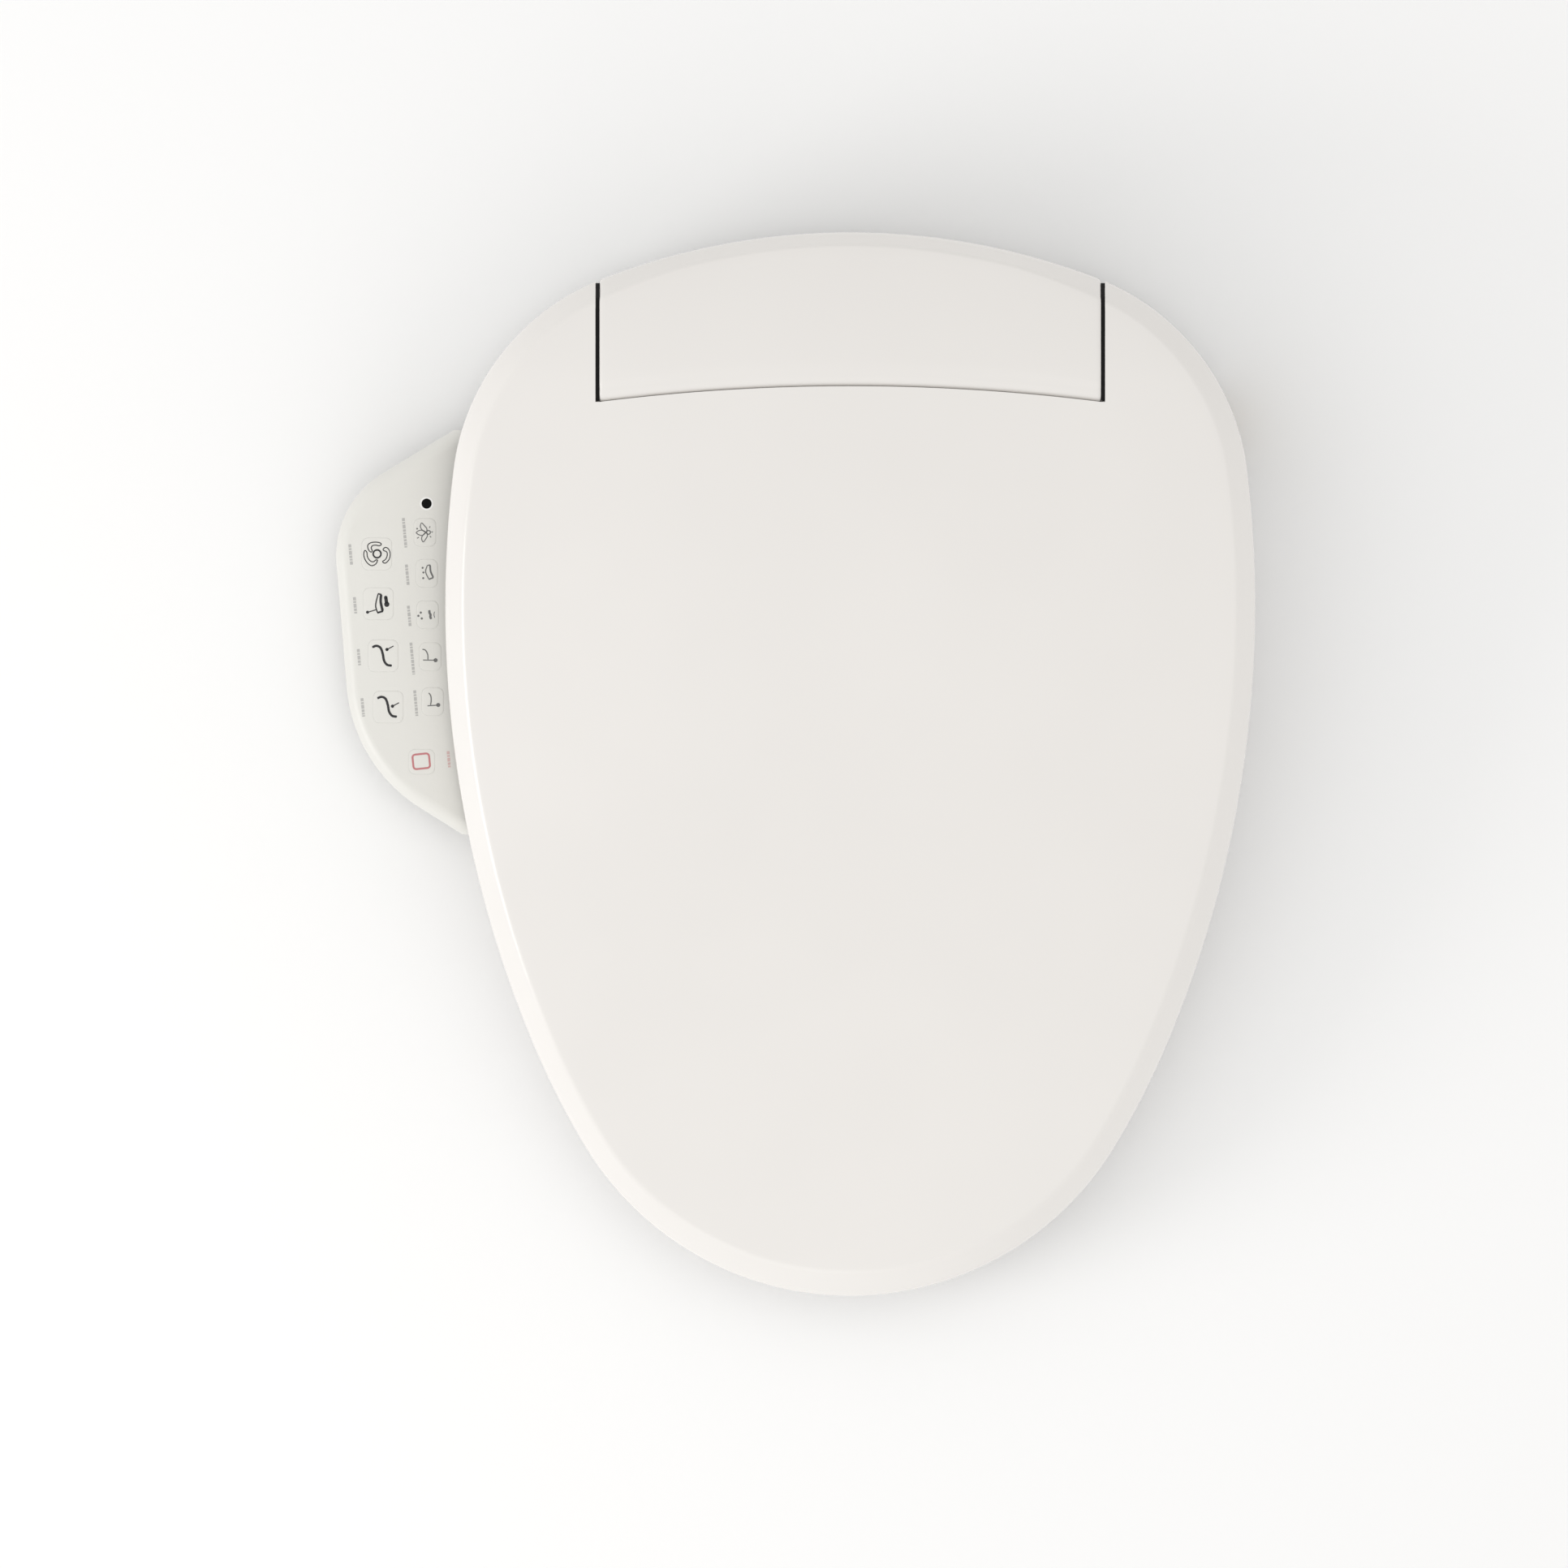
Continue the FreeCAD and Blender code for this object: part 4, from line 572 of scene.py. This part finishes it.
def make_rear_cover():
    """The fixed cover over the works: slope, shelf, seam wall, rolled edge, top, bevel and back."""
    half = SLIT_INNER
    bm = bmesh.new()
    # the three columns at each side are drawn in a little, which rounds the cover's side edges
    columns = [-half, -half + 0.25, -half + 0.9]
    columns += [-half + 2 + (2 * half - 4) * k / ACROSS for k in range(ACROSS + 1)]
    columns += [half - 0.9, half - 0.25, half]
    shrink = [1.0, 0.45, 0.1] + [0.0] * (ACROSS + 1) + [0.1, 0.45, 1.0]
    rows = []
    for x, lower in zip(columns, shrink):
        seam = seam_y(x)
        top = hood_top(x, seam)
        line = [(SLOPE_FOOT_Y + lower, HOUSING_SPLIT)]
        line += bent((-40.5 + lower, 102.3), (-37, SHELF_Z - lower), (-33.4, SHELF_Z - lower), 6)
        wall = [(seam, SHELF_Z + 0.6 - lower)]
        low = SHELF_Z + 1.5
        wall += [(seam + lower, low + (top - ROLL_RISE - low) * k / 4) for k in range(5)]
        for k in range(1, ROLL_STEPS + 1):
            turn = math.pi / 2 * k / ROLL_STEPS
            wall.append((seam + ROLL - (ROLL - lower) * math.cos(turn),
                         top - ROLL_RISE + (ROLL_RISE - lower) * math.sin(turn)))
        line = [(min(y, seam - 0.2), z) for y, z in line] + wall
        stretch = bevel_stretch(x, half_outline_y(x, 0))
        rear = half_outline_y(x, (BEVEL + 14) * stretch)
        for k in range(1, 16):
            y = seam + ROLL + (rear - seam - ROLL) * k / 16
            line.append((y, hood_top(x, y) - lower))
        for depth, drop in reversed(bevel_profile(BEVEL)):
            y = half_outline_y(x, depth * stretch + lower)
            line.append((y, hood_top(x, y) - drop - lower))
        back = half_outline_y(x, lower)
        high = line[-1][1]
        line += [(back, high + (HOUSING_SPLIT - high) * k / 5) for k in range(1, 6)]
        rows.append([bm.verts.new((x, y, z)) for y, z in line])
    for left, right in zip(rows, rows[1:]):
        for i in range(len(left) - 1):
            bm.faces.new([left[i], right[i], right[i + 1], left[i + 1]])
    for row in (rows[0], rows[-1]):
        bm.faces.new(row)
    piece = new_object("rear_cover_shell", bm, cover_white, 40)
    skin = piece.modifiers.new("wall", "SOLIDIFY")
    skin.thickness = COVER_WALL * MM
    skin.offset = -1
    bake_modifiers(piece)
    holes = bmesh.new()
    ring_prism(holes, -130, -118, disc_points(HINGE_Y, HINGE_Z, BUSH_HOLE, 48))
    ring_prism(holes, 118, 130, disc_points(HINGE_Y, HINGE_Z, BUSH_HOLE, 48))
    carve(piece, holes)
    sharpen(piece, 40)
    return settle(piece, "housing", "shell_white", "rear_cover")


make_rear_cover()

# how far the black strips that paint the slits' shade sit below the surface
SHADE_STRIP_SUNK = 1.3


def make_slit_shade_strips():
    """Black strips that stand in the two slits, just below the lid's surface: painted shade for the
    dark gaps.
    """
    bm = bmesh.new()
    for side in (-1, 1):
        near, far = SLIT_INNER + 0.08, SLIT_OUTER - 0.12
        front, back = seam_y(SLIT_INNER) + 0.6, half_outline_y(near, LIP_SHORT)
        ys = [front + (back - front) * k / LIP_STEPS for k in range(LIP_STEPS + 1)]
        tops = [(y, hood_top(near, y) - bevel_drop(near, y) - SHADE_STRIP_SUNK) for y in ys]
        low = [(ys[-1], 80), (front + 0.5, 112)]
        ring_prism(bm, side * near, side * far, tops + low)
    dark_strips = new_object("slit_shade_strips", bm, slit_shade_black, 30)
    holes = bmesh.new()
    for side in (-1, 1):
        ring_prism(holes, side * 122, side * 127, disc_points(HINGE_Y, HINGE_Z, 7.2, 40))
    carve(dark_strips, holes)
    return settle(dark_strips, "housing", "rubber_grey")


make_slit_shade_strips()

# ---------------------------------------------------------------- seat

RING_INSET, RING_REAR = 8.0, -72.0
RING_BOTTOM, RING_SEAM_DROP, RING_ROLL, RING_WALL = 12.0, 14.0, 11.0, 3.0
RING_REAR_TOP, RING_FALL, RING_RUN = 50.0, 7.7, 448.0
DISH, FOOT_ROUND, ROUND_STEPS, DISH_STEPS = 1.2, 2.5, 7, 7
OPENING_Y, OPENING_X_HALF, OPENING_Y_HALF = -250.0, 105.0, 135.0
ARCH_HALF, ARCH_CORNER, ARCH_FRONT, ARCH_REAR = 45.0, 9, -150, -60
ARM_INNER, ARM_OUTER, ARM_EYE, ARM_ROUND = 127.0, 134.0, 10.0, 14
SPOKES = 240


def ring_top(y):
    """Height of the seat ring's sloping top."""
    return RING_REAR_TOP - RING_FALL * (RING_REAR - y) / RING_RUN


def cross_with_outline(way, outline):
    """Distance from the opening's middle to the outline along a direction."""
    start = Vector((0, OPENING_Y))
    far = start + way * 700
    best = None
    for a, b in zip(outline, outline[1:] + outline[:1]):
        hit = intersect_line_line_2d(start, far, a, b)
        if hit is not None:
            run = (hit - start).length
            best = run if best is None else min(best, run)
    return best


def soft_min(a, b, soft):
    """The smaller of two lengths, with a rounded change from one to the other."""
    low = min(a, b)
    return low - soft * math.log(math.exp(-(a - low) / soft) + math.exp(-(b - low) / soft))


SPOKE_WAYS = [Vector((math.sin(2 * math.pi * k / SPOKES), math.cos(2 * math.pi * k / SPOKES)))
              for k in range(SPOKES)]
RING_EDGE = [point + inward * RING_INSET for point, inward in hood_points(480)]


def ring_reaches():
    """Outer and inner radii of the seat ring along each spoke."""
    reaches = []
    for way in SPOKE_WAYS:
        outer = cross_with_outline(way, RING_EDGE)
        if way.y > 0.05:
            outer = soft_min(outer, (RING_REAR - OPENING_Y) / way.y, 1.6)
        inner = 1 / math.sqrt((way.x / OPENING_X_HALF) ** 2 + (way.y / OPENING_Y_HALF) ** 2)
        reaches.append((inner, outer))
    return reaches


REACHES = ring_reaches()


def ring_solid(name, inset):
    """The seat ring as a full solid, moved in by inset, with the arch at its rear."""
    roll, low, foot = RING_ROLL - inset, RING_BOTTOM + inset, FOOT_ROUND
    quarter = [math.pi / 2 * k / ROUND_STEPS for k in range(ROUND_STEPS + 1)]
    bm = bmesh.new()
    loops = []
    for way, (inner, outer) in zip(SPOKE_WAYS, REACHES):
        inner, outer = inner + inset, outer - inset
        # (reach, height) pairs from the outer foot over the top to the inner foot. Heights of 0
        # and less are measured down from the sloping top.
        section = [(outer - foot, low), (outer - foot * 0.3, low + foot * 0.3), (outer, low + foot),
                   (outer, low + 9)]
        section += [(outer - roll + roll * math.cos(turn), -roll + roll * math.sin(turn))
                    for turn in quarter]
        width = outer - inner - 2 * roll
        for k in range(1, DISH_STEPS):
            share = k / DISH_STEPS
            section.append((outer - roll - width * share, -DISH * math.sin(math.pi * share) ** 2))
        section += [(inner + roll - roll * math.cos(turn), -roll + roll * math.sin(turn))
                    for turn in reversed(quarter)]
        section += [(inner, low + 9), (inner, low + foot), (inner + foot * 0.3, low + foot * 0.3),
                    (inner + foot, low)]
        loop = []
        for reach, height in section:
            spot = Vector((0, OPENING_Y)) + way * reach
            if height <= 0:
                height += ring_top(spot.y) - inset
            loop.append(bm.verts.new((spot.x, spot.y, height)))
        loops.append(loop)
    bridge_rings(bm, loops + loops[:1])
    piece = new_object(name, bm, seat_white, 40)
    arch = bmesh.new()
    half, drop = ARCH_HALF + inset, RING_SEAM_DROP - inset
    top = ring_top(ARCH_REAR) - drop
    side = top - ARCH_CORNER
    gate = [(-half, -5)]
    gate += bent((-half, side), (-half, top), (-half + ARCH_CORNER, top), 6)
    gate += bent((half - ARCH_CORNER, top), (half, top), (half, side), 6) + [(half, -5)]
    fall = ring_top(ARCH_REAR) - ring_top(ARCH_FRONT)
    near = [arch.verts.new((x, ARCH_FRONT, z - fall if z > 0 else z)) for x, z in gate]
    far = [arch.verts.new((x, ARCH_REAR, z)) for x, z in gate]
    bridge_rings(arch, [near, far])
    arch.faces.new(near)
    arch.faces.new(far)
    carve(piece, arch)
    return piece


def soften(points, cut):
    """A closed outline with each corner turned into a short curve."""
    out = []
    count = len(points)
    for i, point in enumerate(points):
        here = Vector(point)
        before, after = Vector(points[i - 1]), Vector(points[(i + 1) % count])
        back = min(cut, (before - here).length * 0.45)
        ahead = min(cut, (after - here).length * 0.45)
        start = here + (before - here).normalized() * back
        end = here + (after - here).normalized() * ahead
        out += bent(tuple(start), tuple(here), tuple(end), 5)
    return out


def seam_slab(drop, edge_z):
    """Everything between the sloping plane at this depth under the ring's top and a height."""
    bm = bmesh.new()
    ring_prism(bm, -260, 260, [(-520, ring_top(-520) - drop), (60, ring_top(60) - drop),
                               (60, edge_z), (-520, edge_z)])
    return bm


def make_seat():
    """The heated seat: a hollow ring split at its seam, with swan-neck hinge arms."""
    outer = ring_solid("seat_ring", 0)
    combine(outer, ring_solid("seat_hollow", RING_WALL), "DIFFERENCE")
    lower = outer.copy()
    lower.data = outer.data.copy()
    lower.name = lower.data.name = "seat_ring_underside"
    bpy.context.scene.collection.objects.link(lower)
    carve(outer, seam_slab(RING_SEAM_DROP, -20))
    carve(lower, seam_slab(RING_SEAM_DROP + 0.5, 120))
    # side view of an arm, as (y, z), from the hinge down to the ring and back
    neck = [(HINGE_Y, HINGE_Z - 8), (-30, HINGE_Z - 8), (-62, 52), (-74, 37), (-88, 37), (-90, 42),
            (-76, 56), (-38, HINGE_Z + 6), (HINGE_Y, HINGE_Z + 8)]
    for side in (-1, 1):
        arm = bmesh.new()
        ring_prism(arm, side * ARM_INNER, side * ARM_OUTER, soften(neck, ARM_ROUND))
        carve(outer, arm, "UNION")
        eye = bmesh.new()
        ring_prism(eye, side * ARM_INNER, side * ARM_OUTER,
                   disc_points(HINGE_Y, HINGE_Z, ARM_EYE, 48))
        carve(outer, eye, "UNION")
    pin = bmesh.new()
    ring_prism(pin, -140, 140, disc_points(HINGE_Y, HINGE_Z, PIN_HOLE, 40))
    carve(outer, pin)
    for piece in (outer, lower):
        sharpen(piece, 38)
    settle(outer, "seat", "seat_white", "seat_top")
    settle(lower, "seat", "seat_white", "seat_underside")


make_seat()

# ---------------------------------------------------------------- panel keys

# centre x and y, width and length of each key
KEYS = {
    "key_dryer": (-233.6, -111.0, 14.5, 15.5),
    "key_wand_heat": (-232.8, -135.6, 14.5, 15.5),
    "key_rear_wash": (-230.5, -161.3, 14.5, 15.5),
    "key_front_wash": (-228.0, -186.6, 14.5, 15.5),
    "key_sanitise": (-209.8, -100.4, 10.5, 13.5),
    "key_wand_clean": (-208.9, -120.6, 10.5, 13.5),
    "key_water_heat": (-208.5, -141.0, 10.5, 13.5),
    "key_rear_pressure": (-207.2, -161.7, 10.5, 13.5),
    "key_front_pressure": (-206.0, -183.9, 10.5, 13.5),
    "key_stop": (-211.4, -213.6, 12.5, 12.0),
}
KEY_GROW, KEY_CORNER, KEY_DEPTH, STEM_RADIUS, STEM_FOOT = 0.18, 3.18, 4.0, 2, 42.4
# (inset, drop) of the cap's rings from its upright side to the middle of its top
CAP_TOP = ((0.0, 0.07), (0.02, 0.02), (0.07, 0.0), (0.8, 0.0), (2.0, 0.0), (3.0, 0.0))


def rounded_box_plan(x, y, width, length, corner, inset):
    """Plan points of a rounded rectangle moved in by inset."""
    half_x, half_y = width / 2 - corner, length / 2 - corner
    points = []
    for cx, cy, first in ((1, 1, 0), (-1, 1, 90), (-1, -1, 180), (1, -1, 270)):
        for k in range(7):
            angle = math.radians(first + 15 * k)
            reach = max(corner - inset, 0.05)
            slide = min(corner - inset - 0.05, 0.0)
            points.append((x + cx * max(half_x + slide, 0.02) + reach * math.cos(angle),
                           y + cy * max(half_y + slide, 0.02) + reach * math.sin(angle)))
    return points


def make_key(key):
    """A key cap flush with the panel, on its round stem."""
    x, y, width, length = KEYS[key]
    bm = bmesh.new()
    wide, tall = width + 2 * KEY_GROW, length + 2 * KEY_GROW
    floor_z = panel_top(x - width / 2, y) - KEY_DEPTH
    rings = []
    for inset, height in ((0.6, 0.0), (0.0, 0.6)):
        plan = rounded_box_plan(x, y, wide, tall, KEY_CORNER, inset)
        rings.append([(u, v, floor_z + height) for u, v in plan])
    for inset, drop in CAP_TOP:
        plan = rounded_box_plan(x, y, wide, tall, KEY_CORNER, inset)
        rings.append([(u, v, panel_top(u, v) - drop) for u, v in plan])
    layers = [[bm.verts.new(spot) for spot in ring] for ring in rings]
    bridge_rings(bm, layers)
    bm.faces.new(layers[0])
    bm.faces.new(layers[-1])
    bmesh.ops.recalc_face_normals(bm, faces=bm.faces)
    piece = new_object(key + "_cap", bm, panel_white, 30)
    stem = bmesh.new()
    loop_prism(stem, disc_points(x, y, STEM_RADIUS, 24), STEM_FOOT, floor_z + 1)
    carve(piece, stem, "UNION")
    sharpen(piece, 30)
    return settle(piece, key, "key_white", key)


for key in KEYS:
    make_key(key)

# ---------------------------------------------------------------- panel marks

# printed marks are closed strips that stand this far above and below the panel's surface
INK_PROUD, INK_SUNK = 0.06, 0.25


def plan_frame(points, closed):
    """Unit sideways directions along a plan path."""
    sides = []
    count = len(points)
    for i in range(count):
        before = points[(i - 1) % count] if closed or i > 0 else points[i]
        after = points[(i + 1) % count] if closed or i < count - 1 else points[i]
        way = Vector(after) - Vector(before)
        way.normalize()
        sides.append(Vector((-way.y, way.x)))
    return sides


def smooth_path(points, closed, fine=8):
    """A Catmull-Rom curve through the points."""
    if len(points) < 3:
        return [Vector(p) for p in points]
    pts = [Vector(p) for p in points]
    count = len(pts)
    out = []
    spans = count if closed else count - 1
    for i in range(spans):
        p1, p2 = pts[i], pts[(i + 1) % count]
        p0 = pts[(i - 1) % count] if closed or i > 0 else p1 * 2 - p2
        p3 = pts[(i + 2) % count] if closed or i + 2 < count else p2 * 2 - p1
        for k in range(fine):
            t = k / fine
            out.append(0.5 * (2 * p1 + (p2 - p0) * t + (2 * p0 - 5 * p1 + 4 * p2 - p3) * t * t
                              + (3 * p1 - p0 - 3 * p2 + p3) * t ** 3))
    if not closed:
        out.append(pts[-1])
    return out


def stroke(bm, place, points, width, closed=False, curved=True):
    """A printed line: a thin raised strip over the panel's surface."""
    path = smooth_path(points, closed) if curved else [Vector(p) for p in points]
    path = [p + Vector(place) for p in path]
    sides = plan_frame(path, closed)
    taper = [1.0] * len(path)
    if not closed and curved and len(path) > 6:
        taper[0] = taper[-1] = 0.55
    strip = []
    for spot, side, part in zip(path, sides, taper):
        left, right = spot + side * width / 2 * part, spot - side * width / 2 * part
        corners = ((left, -INK_SUNK), (left, INK_PROUD), (right, INK_PROUD), (right, -INK_SUNK))
        strip.append([bm.verts.new((p.x, p.y, panel_top(p.x, p.y) + h)) for p, h in corners])
    spans = len(strip) if closed else len(strip) - 1
    for i in range(spans):
        a, b = strip[i], strip[(i + 1) % len(strip)]
        for k in range(4):
            m = (k + 1) % 4
            bm.faces.new([a[k], a[m], b[m], b[k]])
    if not closed:
        bm.faces.new(strip[0])
        bm.faces.new(strip[-1])


def dot(bm, place, spot, radius):
    """A printed dot."""
    ring = disc_points(place[0] + spot[0], place[1] + spot[1], radius, 20)
    low = [bm.verts.new((x, y, panel_top(x, y) - INK_SUNK)) for x, y in ring]
    high = [bm.verts.new((x, y, panel_top(x, y) + INK_PROUD)) for x, y in ring]
    bridge_rings(bm, [low, high])
    bm.faces.new(low)
    bm.faces.new(high)


def draw_dryer(bm, at):
    """Three fan blades round a hub."""
    stroke(bm, at, disc_points(0.1, 0, 1.95, 16), 0.8, closed=True, curved=False)
    for blade in (
        [(-3.0, 0.9), (-4.2, 2.2), (-4.5, 4.2), (-3.2, 5.4), (-1.0, 5.8), (1.4, 5.5),
         (2.2, 4.7), (1.2, 4.0), (-0.6, 4.3), (-2.2, 4.0), (-2.8, 2.9), (-2.3, 1.5)],
        [(3.1, 1.9), (3.9, 3.1), (5.2, 2.9), (6.3, 1.4), (6.6, -0.6), (6.0, -2.8),
         (4.4, -4.5), (3.2, -4.3), (3.0, -3.6), (4.3, -2.7), (5.1, -0.9), (4.9, 0.9)],
        [(-6.0, 1.6), (-6.5, -0.2), (-6.0, -2.4), (-4.6, -4.6), (-2.6, -5.8), (-0.6, -5.0),
         (0.3, -3.2), (-0.5, -3.0), (-1.7, -3.9), (-3.2, -3.5), (-4.6, -1.6), (-5.0, 0.9)],
    ):
        stroke(bm, at, blade, 0.48, closed=True)


def draw_wand_heat(bm, at):
    """A seat with heat rising from it."""
    stroke(bm, at, [(-0.2, 4.9), (-1.4, -0.7), (-0.5, -4.5)], 0.6)
    stroke(bm, at, [(1.3, 4.6), (1.1, 0.9), (2.1, -3.7)], 1.25)
    stroke(bm, at, [(-0.3, 4.9), (1.4, 4.6)], 0.7, curved=False)
    stroke(bm, at, [(-0.6, -4.5), (2.2, -3.7)], 0.9, curved=False)
    stroke(bm, at, [(-1.3, -3.0), (-4.9, -4.1)], 0.5, curved=False)
    dot(bm, at, (-5.4, -4.2), 0.75)
    stroke(bm, at, [(3.6, 3.1), (4.0, 0.2)], 1.7, curved=False)
    dot(bm, at, (3.6, 3.1), 0.85)
    dot(bm, at, (4.1, -0.3), 1.3)


def draw_wash(bm, at, lift):
    """The curve that both wash keys share."""
    stroke(bm, at, [(-5.4, 3.9 + lift), (-3.3, 4.6 + lift), (-1.3, 3.6 + lift), (-0.2, 0.6 + lift),
                    (0.4, -2.6 + lift), (1.9, -4.7 + lift), (4.3, -5.2 + lift)], 1.15)


def draw_rear_wash(bm, at):
    """A seated figure's curve with a jet from the rear."""
    draw_wash(bm, at, 0.3)
    dot(bm, at, (1.9, 3.1), 0.8)
    stroke(bm, at, [(1.9, 3.1), (5.1, 4.8)], 0.5, curved=False)


def draw_front_wash(bm, at):
    """The same curve with a jet further forward."""
    draw_wash(bm, at, 0.4)
    dot(bm, at, (2.1, 0.4), 0.8)
    stroke(bm, at, [(2.1, 0.4), (5.3, 2.1)], 0.5, curved=False)


def draw_sanitise(bm, at):
    """A flower with rays."""
    stroke(bm, at, disc_points(1.7, 0, 0.95, 14), 0.55, closed=True, curved=False)
    for petal in (
        [(0.5, 0.1), (0.9, 1.7), (-0.3, 3.3), (-1.7, 4.6), (-2.3, 2.8), (-1.3, 1.1)],
        [(0.5, -0.1), (1.2, -1.5), (0.4, -3.2), (-0.9, -4.7), (-1.7, -3.1), (-1.1, -1.5)],
        [(0.3, 0.0), (-1.3, 1.0), (-2.9, 0.9), (-4.3, -0.2), (-2.7, -1.3), (-1.1, -1.4)],
    ):
        stroke(bm, at, petal, 0.46, closed=True)
    dot(bm, at, (-3.9, 1.8), 0.42)
    for near, far in (((-3.0, -2.4), (-3.9, -2.9)), ((2.2, 2.2), (2.5, 3.0)),
                      ((2.4, -1.8), (3.0, -2.5)), ((3.1, 0.1), (3.9, 0.3))):
        stroke(bm, at, [near, far], 0.45, curved=False)


def draw_wand_clean(bm, at):
    """A wand with drops."""
    stroke(bm, at, [(0.2, 3.9), (-0.6, 0.7), (1.0, -3.0)], 0.5)
    stroke(bm, at, [(1.6, 4.1), (1.9, 0.9), (3.2, -2.1)], 0.85)
    stroke(bm, at, [(0.2, 3.9), (1.7, 4.1)], 0.5, curved=False)
    stroke(bm, at, [(1.0, -3.0), (3.2, -2.1)], 0.7, curved=False)
    for spot in ((-2.1, 2.7), (-1.7, 0.4), (-1.8, -2.4)):
        dot(bm, at, spot, 0.5)


def draw_water_heat(bm, at):
    """Drops and warm waves."""
    for spot in ((-4.6, -0.6), (-3.4, 1.0), (-2.9, -1.9)):
        dot(bm, at, spot, 0.55)
    stroke(bm, at, [(0.8, 2.2), (0.9, 0.9), (1.4, 0.0), (1.3, -1.0), (1.7, -2.2)], 1.15)
    stroke(bm, at, [(3.4, 1.5), (3.1, 0.0), (3.5, -1.6)], 0.35)


def draw_rear_pressure(bm, at):
    """A curve and a jet on a line."""
    stroke(bm, at, [(-3.9, 3.6), (-2.4, 3.1), (-1.3, 1.0), (-1.2, -1.6)], 0.55)
    stroke(bm, at, [(-3.6, -1.7), (2.0, -1.8)], 0.5, curved=False)
    dot(bm, at, (2.6, -1.8), 1.0)


def draw_front_pressure(bm, at):
    """A curve and a jet on a line, for the front."""
    stroke(bm, at, [(-2.0, 4.3), (-1.0, 2.8), (-0.8, 0.4), (-1.1, -1.7)], 0.55)
    stroke(bm, at, [(-2.6, -2.1), (2.2, -1.8)], 0.5, curved=False)
    dot(bm, at, (2.7, -1.7), 1.0)


def draw_stop(bm, at):
    """A rounded square, turned a little with the panel's edge."""
    turn = math.radians(6)
    half_x, half_y, corner = 4.1, 3.6, 1.4
    outline = []
    for cx, cy, first in ((1, 1, 0), (-1, 1, 90), (-1, -1, 180), (1, -1, 270)):
        for k in range(5):
            angle = math.radians(first + 22.5 * k)
            x = cx * (half_x - corner) + corner * math.cos(angle)
            y = cy * (half_y - corner) + corner * math.sin(angle)
            outline.append((x * math.cos(turn) - y * math.sin(turn) - 0.3,
                            x * math.sin(turn) + y * math.cos(turn) + 0.2))
    stroke(bm, at, outline, 0.95, closed=True, curved=False)


MARKS = (
    ("key_dryer", draw_dryer, ink_dark),
    ("key_wand_heat", draw_wand_heat, ink_dark),
    ("key_rear_wash", draw_rear_wash, ink_dark),
    ("key_front_wash", draw_front_wash, ink_dark),
    ("key_sanitise", draw_sanitise, ink_grey),
    ("key_wand_clean", draw_wand_clean, ink_grey),
    ("key_water_heat", draw_water_heat, ink_grey),
    ("key_rear_pressure", draw_rear_pressure, ink_grey),
    ("key_front_pressure", draw_front_pressure, ink_grey),
    ("key_stop", draw_stop, ink_red),
)
for key, draw, ink in MARKS:
    bm = bmesh.new()
    draw(bm, KEYS[key][:2])
    settle(new_object(key + "_mark", bm, ink, 30), key, "key_white")

# rows of plain dashes stand where the real panel carries words: x, y and length
WORD_ROWS = (
    (-246.6, -111.3, 10.0), (-244.4, -136.6, 8.4), (-242.5, -162.0, 8.0), (-240.6, -186.8, 9.0),
    (-219.9, -100.6, 14.5), (-218.6, -121.3, 10.0), (-217.6, -142.0, 10.7), (-216.1, -162.7, 15.7),
    (-214.4, -184.7, 12.6),
)
STOP_ROW = (-198.1, -212.6, 8.4)
DASHES = (1.5, 0.9, 1.9, 1.2, 0.8, 1.6, 1.1)
DASH_GAP, DASH_WIDTH, ROW_LEAN = 0.42, 1.35, 0.09


def dash_row(bm, x, y, length):
    """A row of short dashes down the panel, leaning a little like the printed words."""
    run, index = 0.0, 0
    while run < length - 0.5:
        dash = min(DASHES[index % len(DASHES)], length - run)
        ends = [(ROW_LEAN * (v - length / 2), length / 2 - v) for v in (run, run + dash)]
        stroke(bm, (x, y), ends, DASH_WIDTH, curved=False)
        run += dash + DASH_GAP
        index += 1


def make_word_rows():
    """The grey rows beside the keys and the pink one beside the stop key."""
    bm = bmesh.new()
    for x, y, length in WORD_ROWS:
        dash_row(bm, x, y, length)
    settle(new_object("label_dashes", bm, ink_faint, 30), "housing", "panel_white")
    bm = bmesh.new()
    dash_row(bm, *STOP_ROW)
    settle(new_object("stop_dashes", bm, ink_pink, 30), "housing", "panel_white")


make_word_rows()

WINDOW_PLACE, WINDOW_RADIUS = (-209.0, -86.2), 2.95


def make_window_ring():
    """The pale ring moulded round the sensor window."""
    bm = bmesh.new()
    circle = disc_points(0, 0, WINDOW_RADIUS, 40)
    stroke(bm, WINDOW_PLACE, circle, 0.8, closed=True, curved=False)
    settle(new_object("window_ring", bm, ring_white, 30), "housing", "panel_white")


make_window_ring()
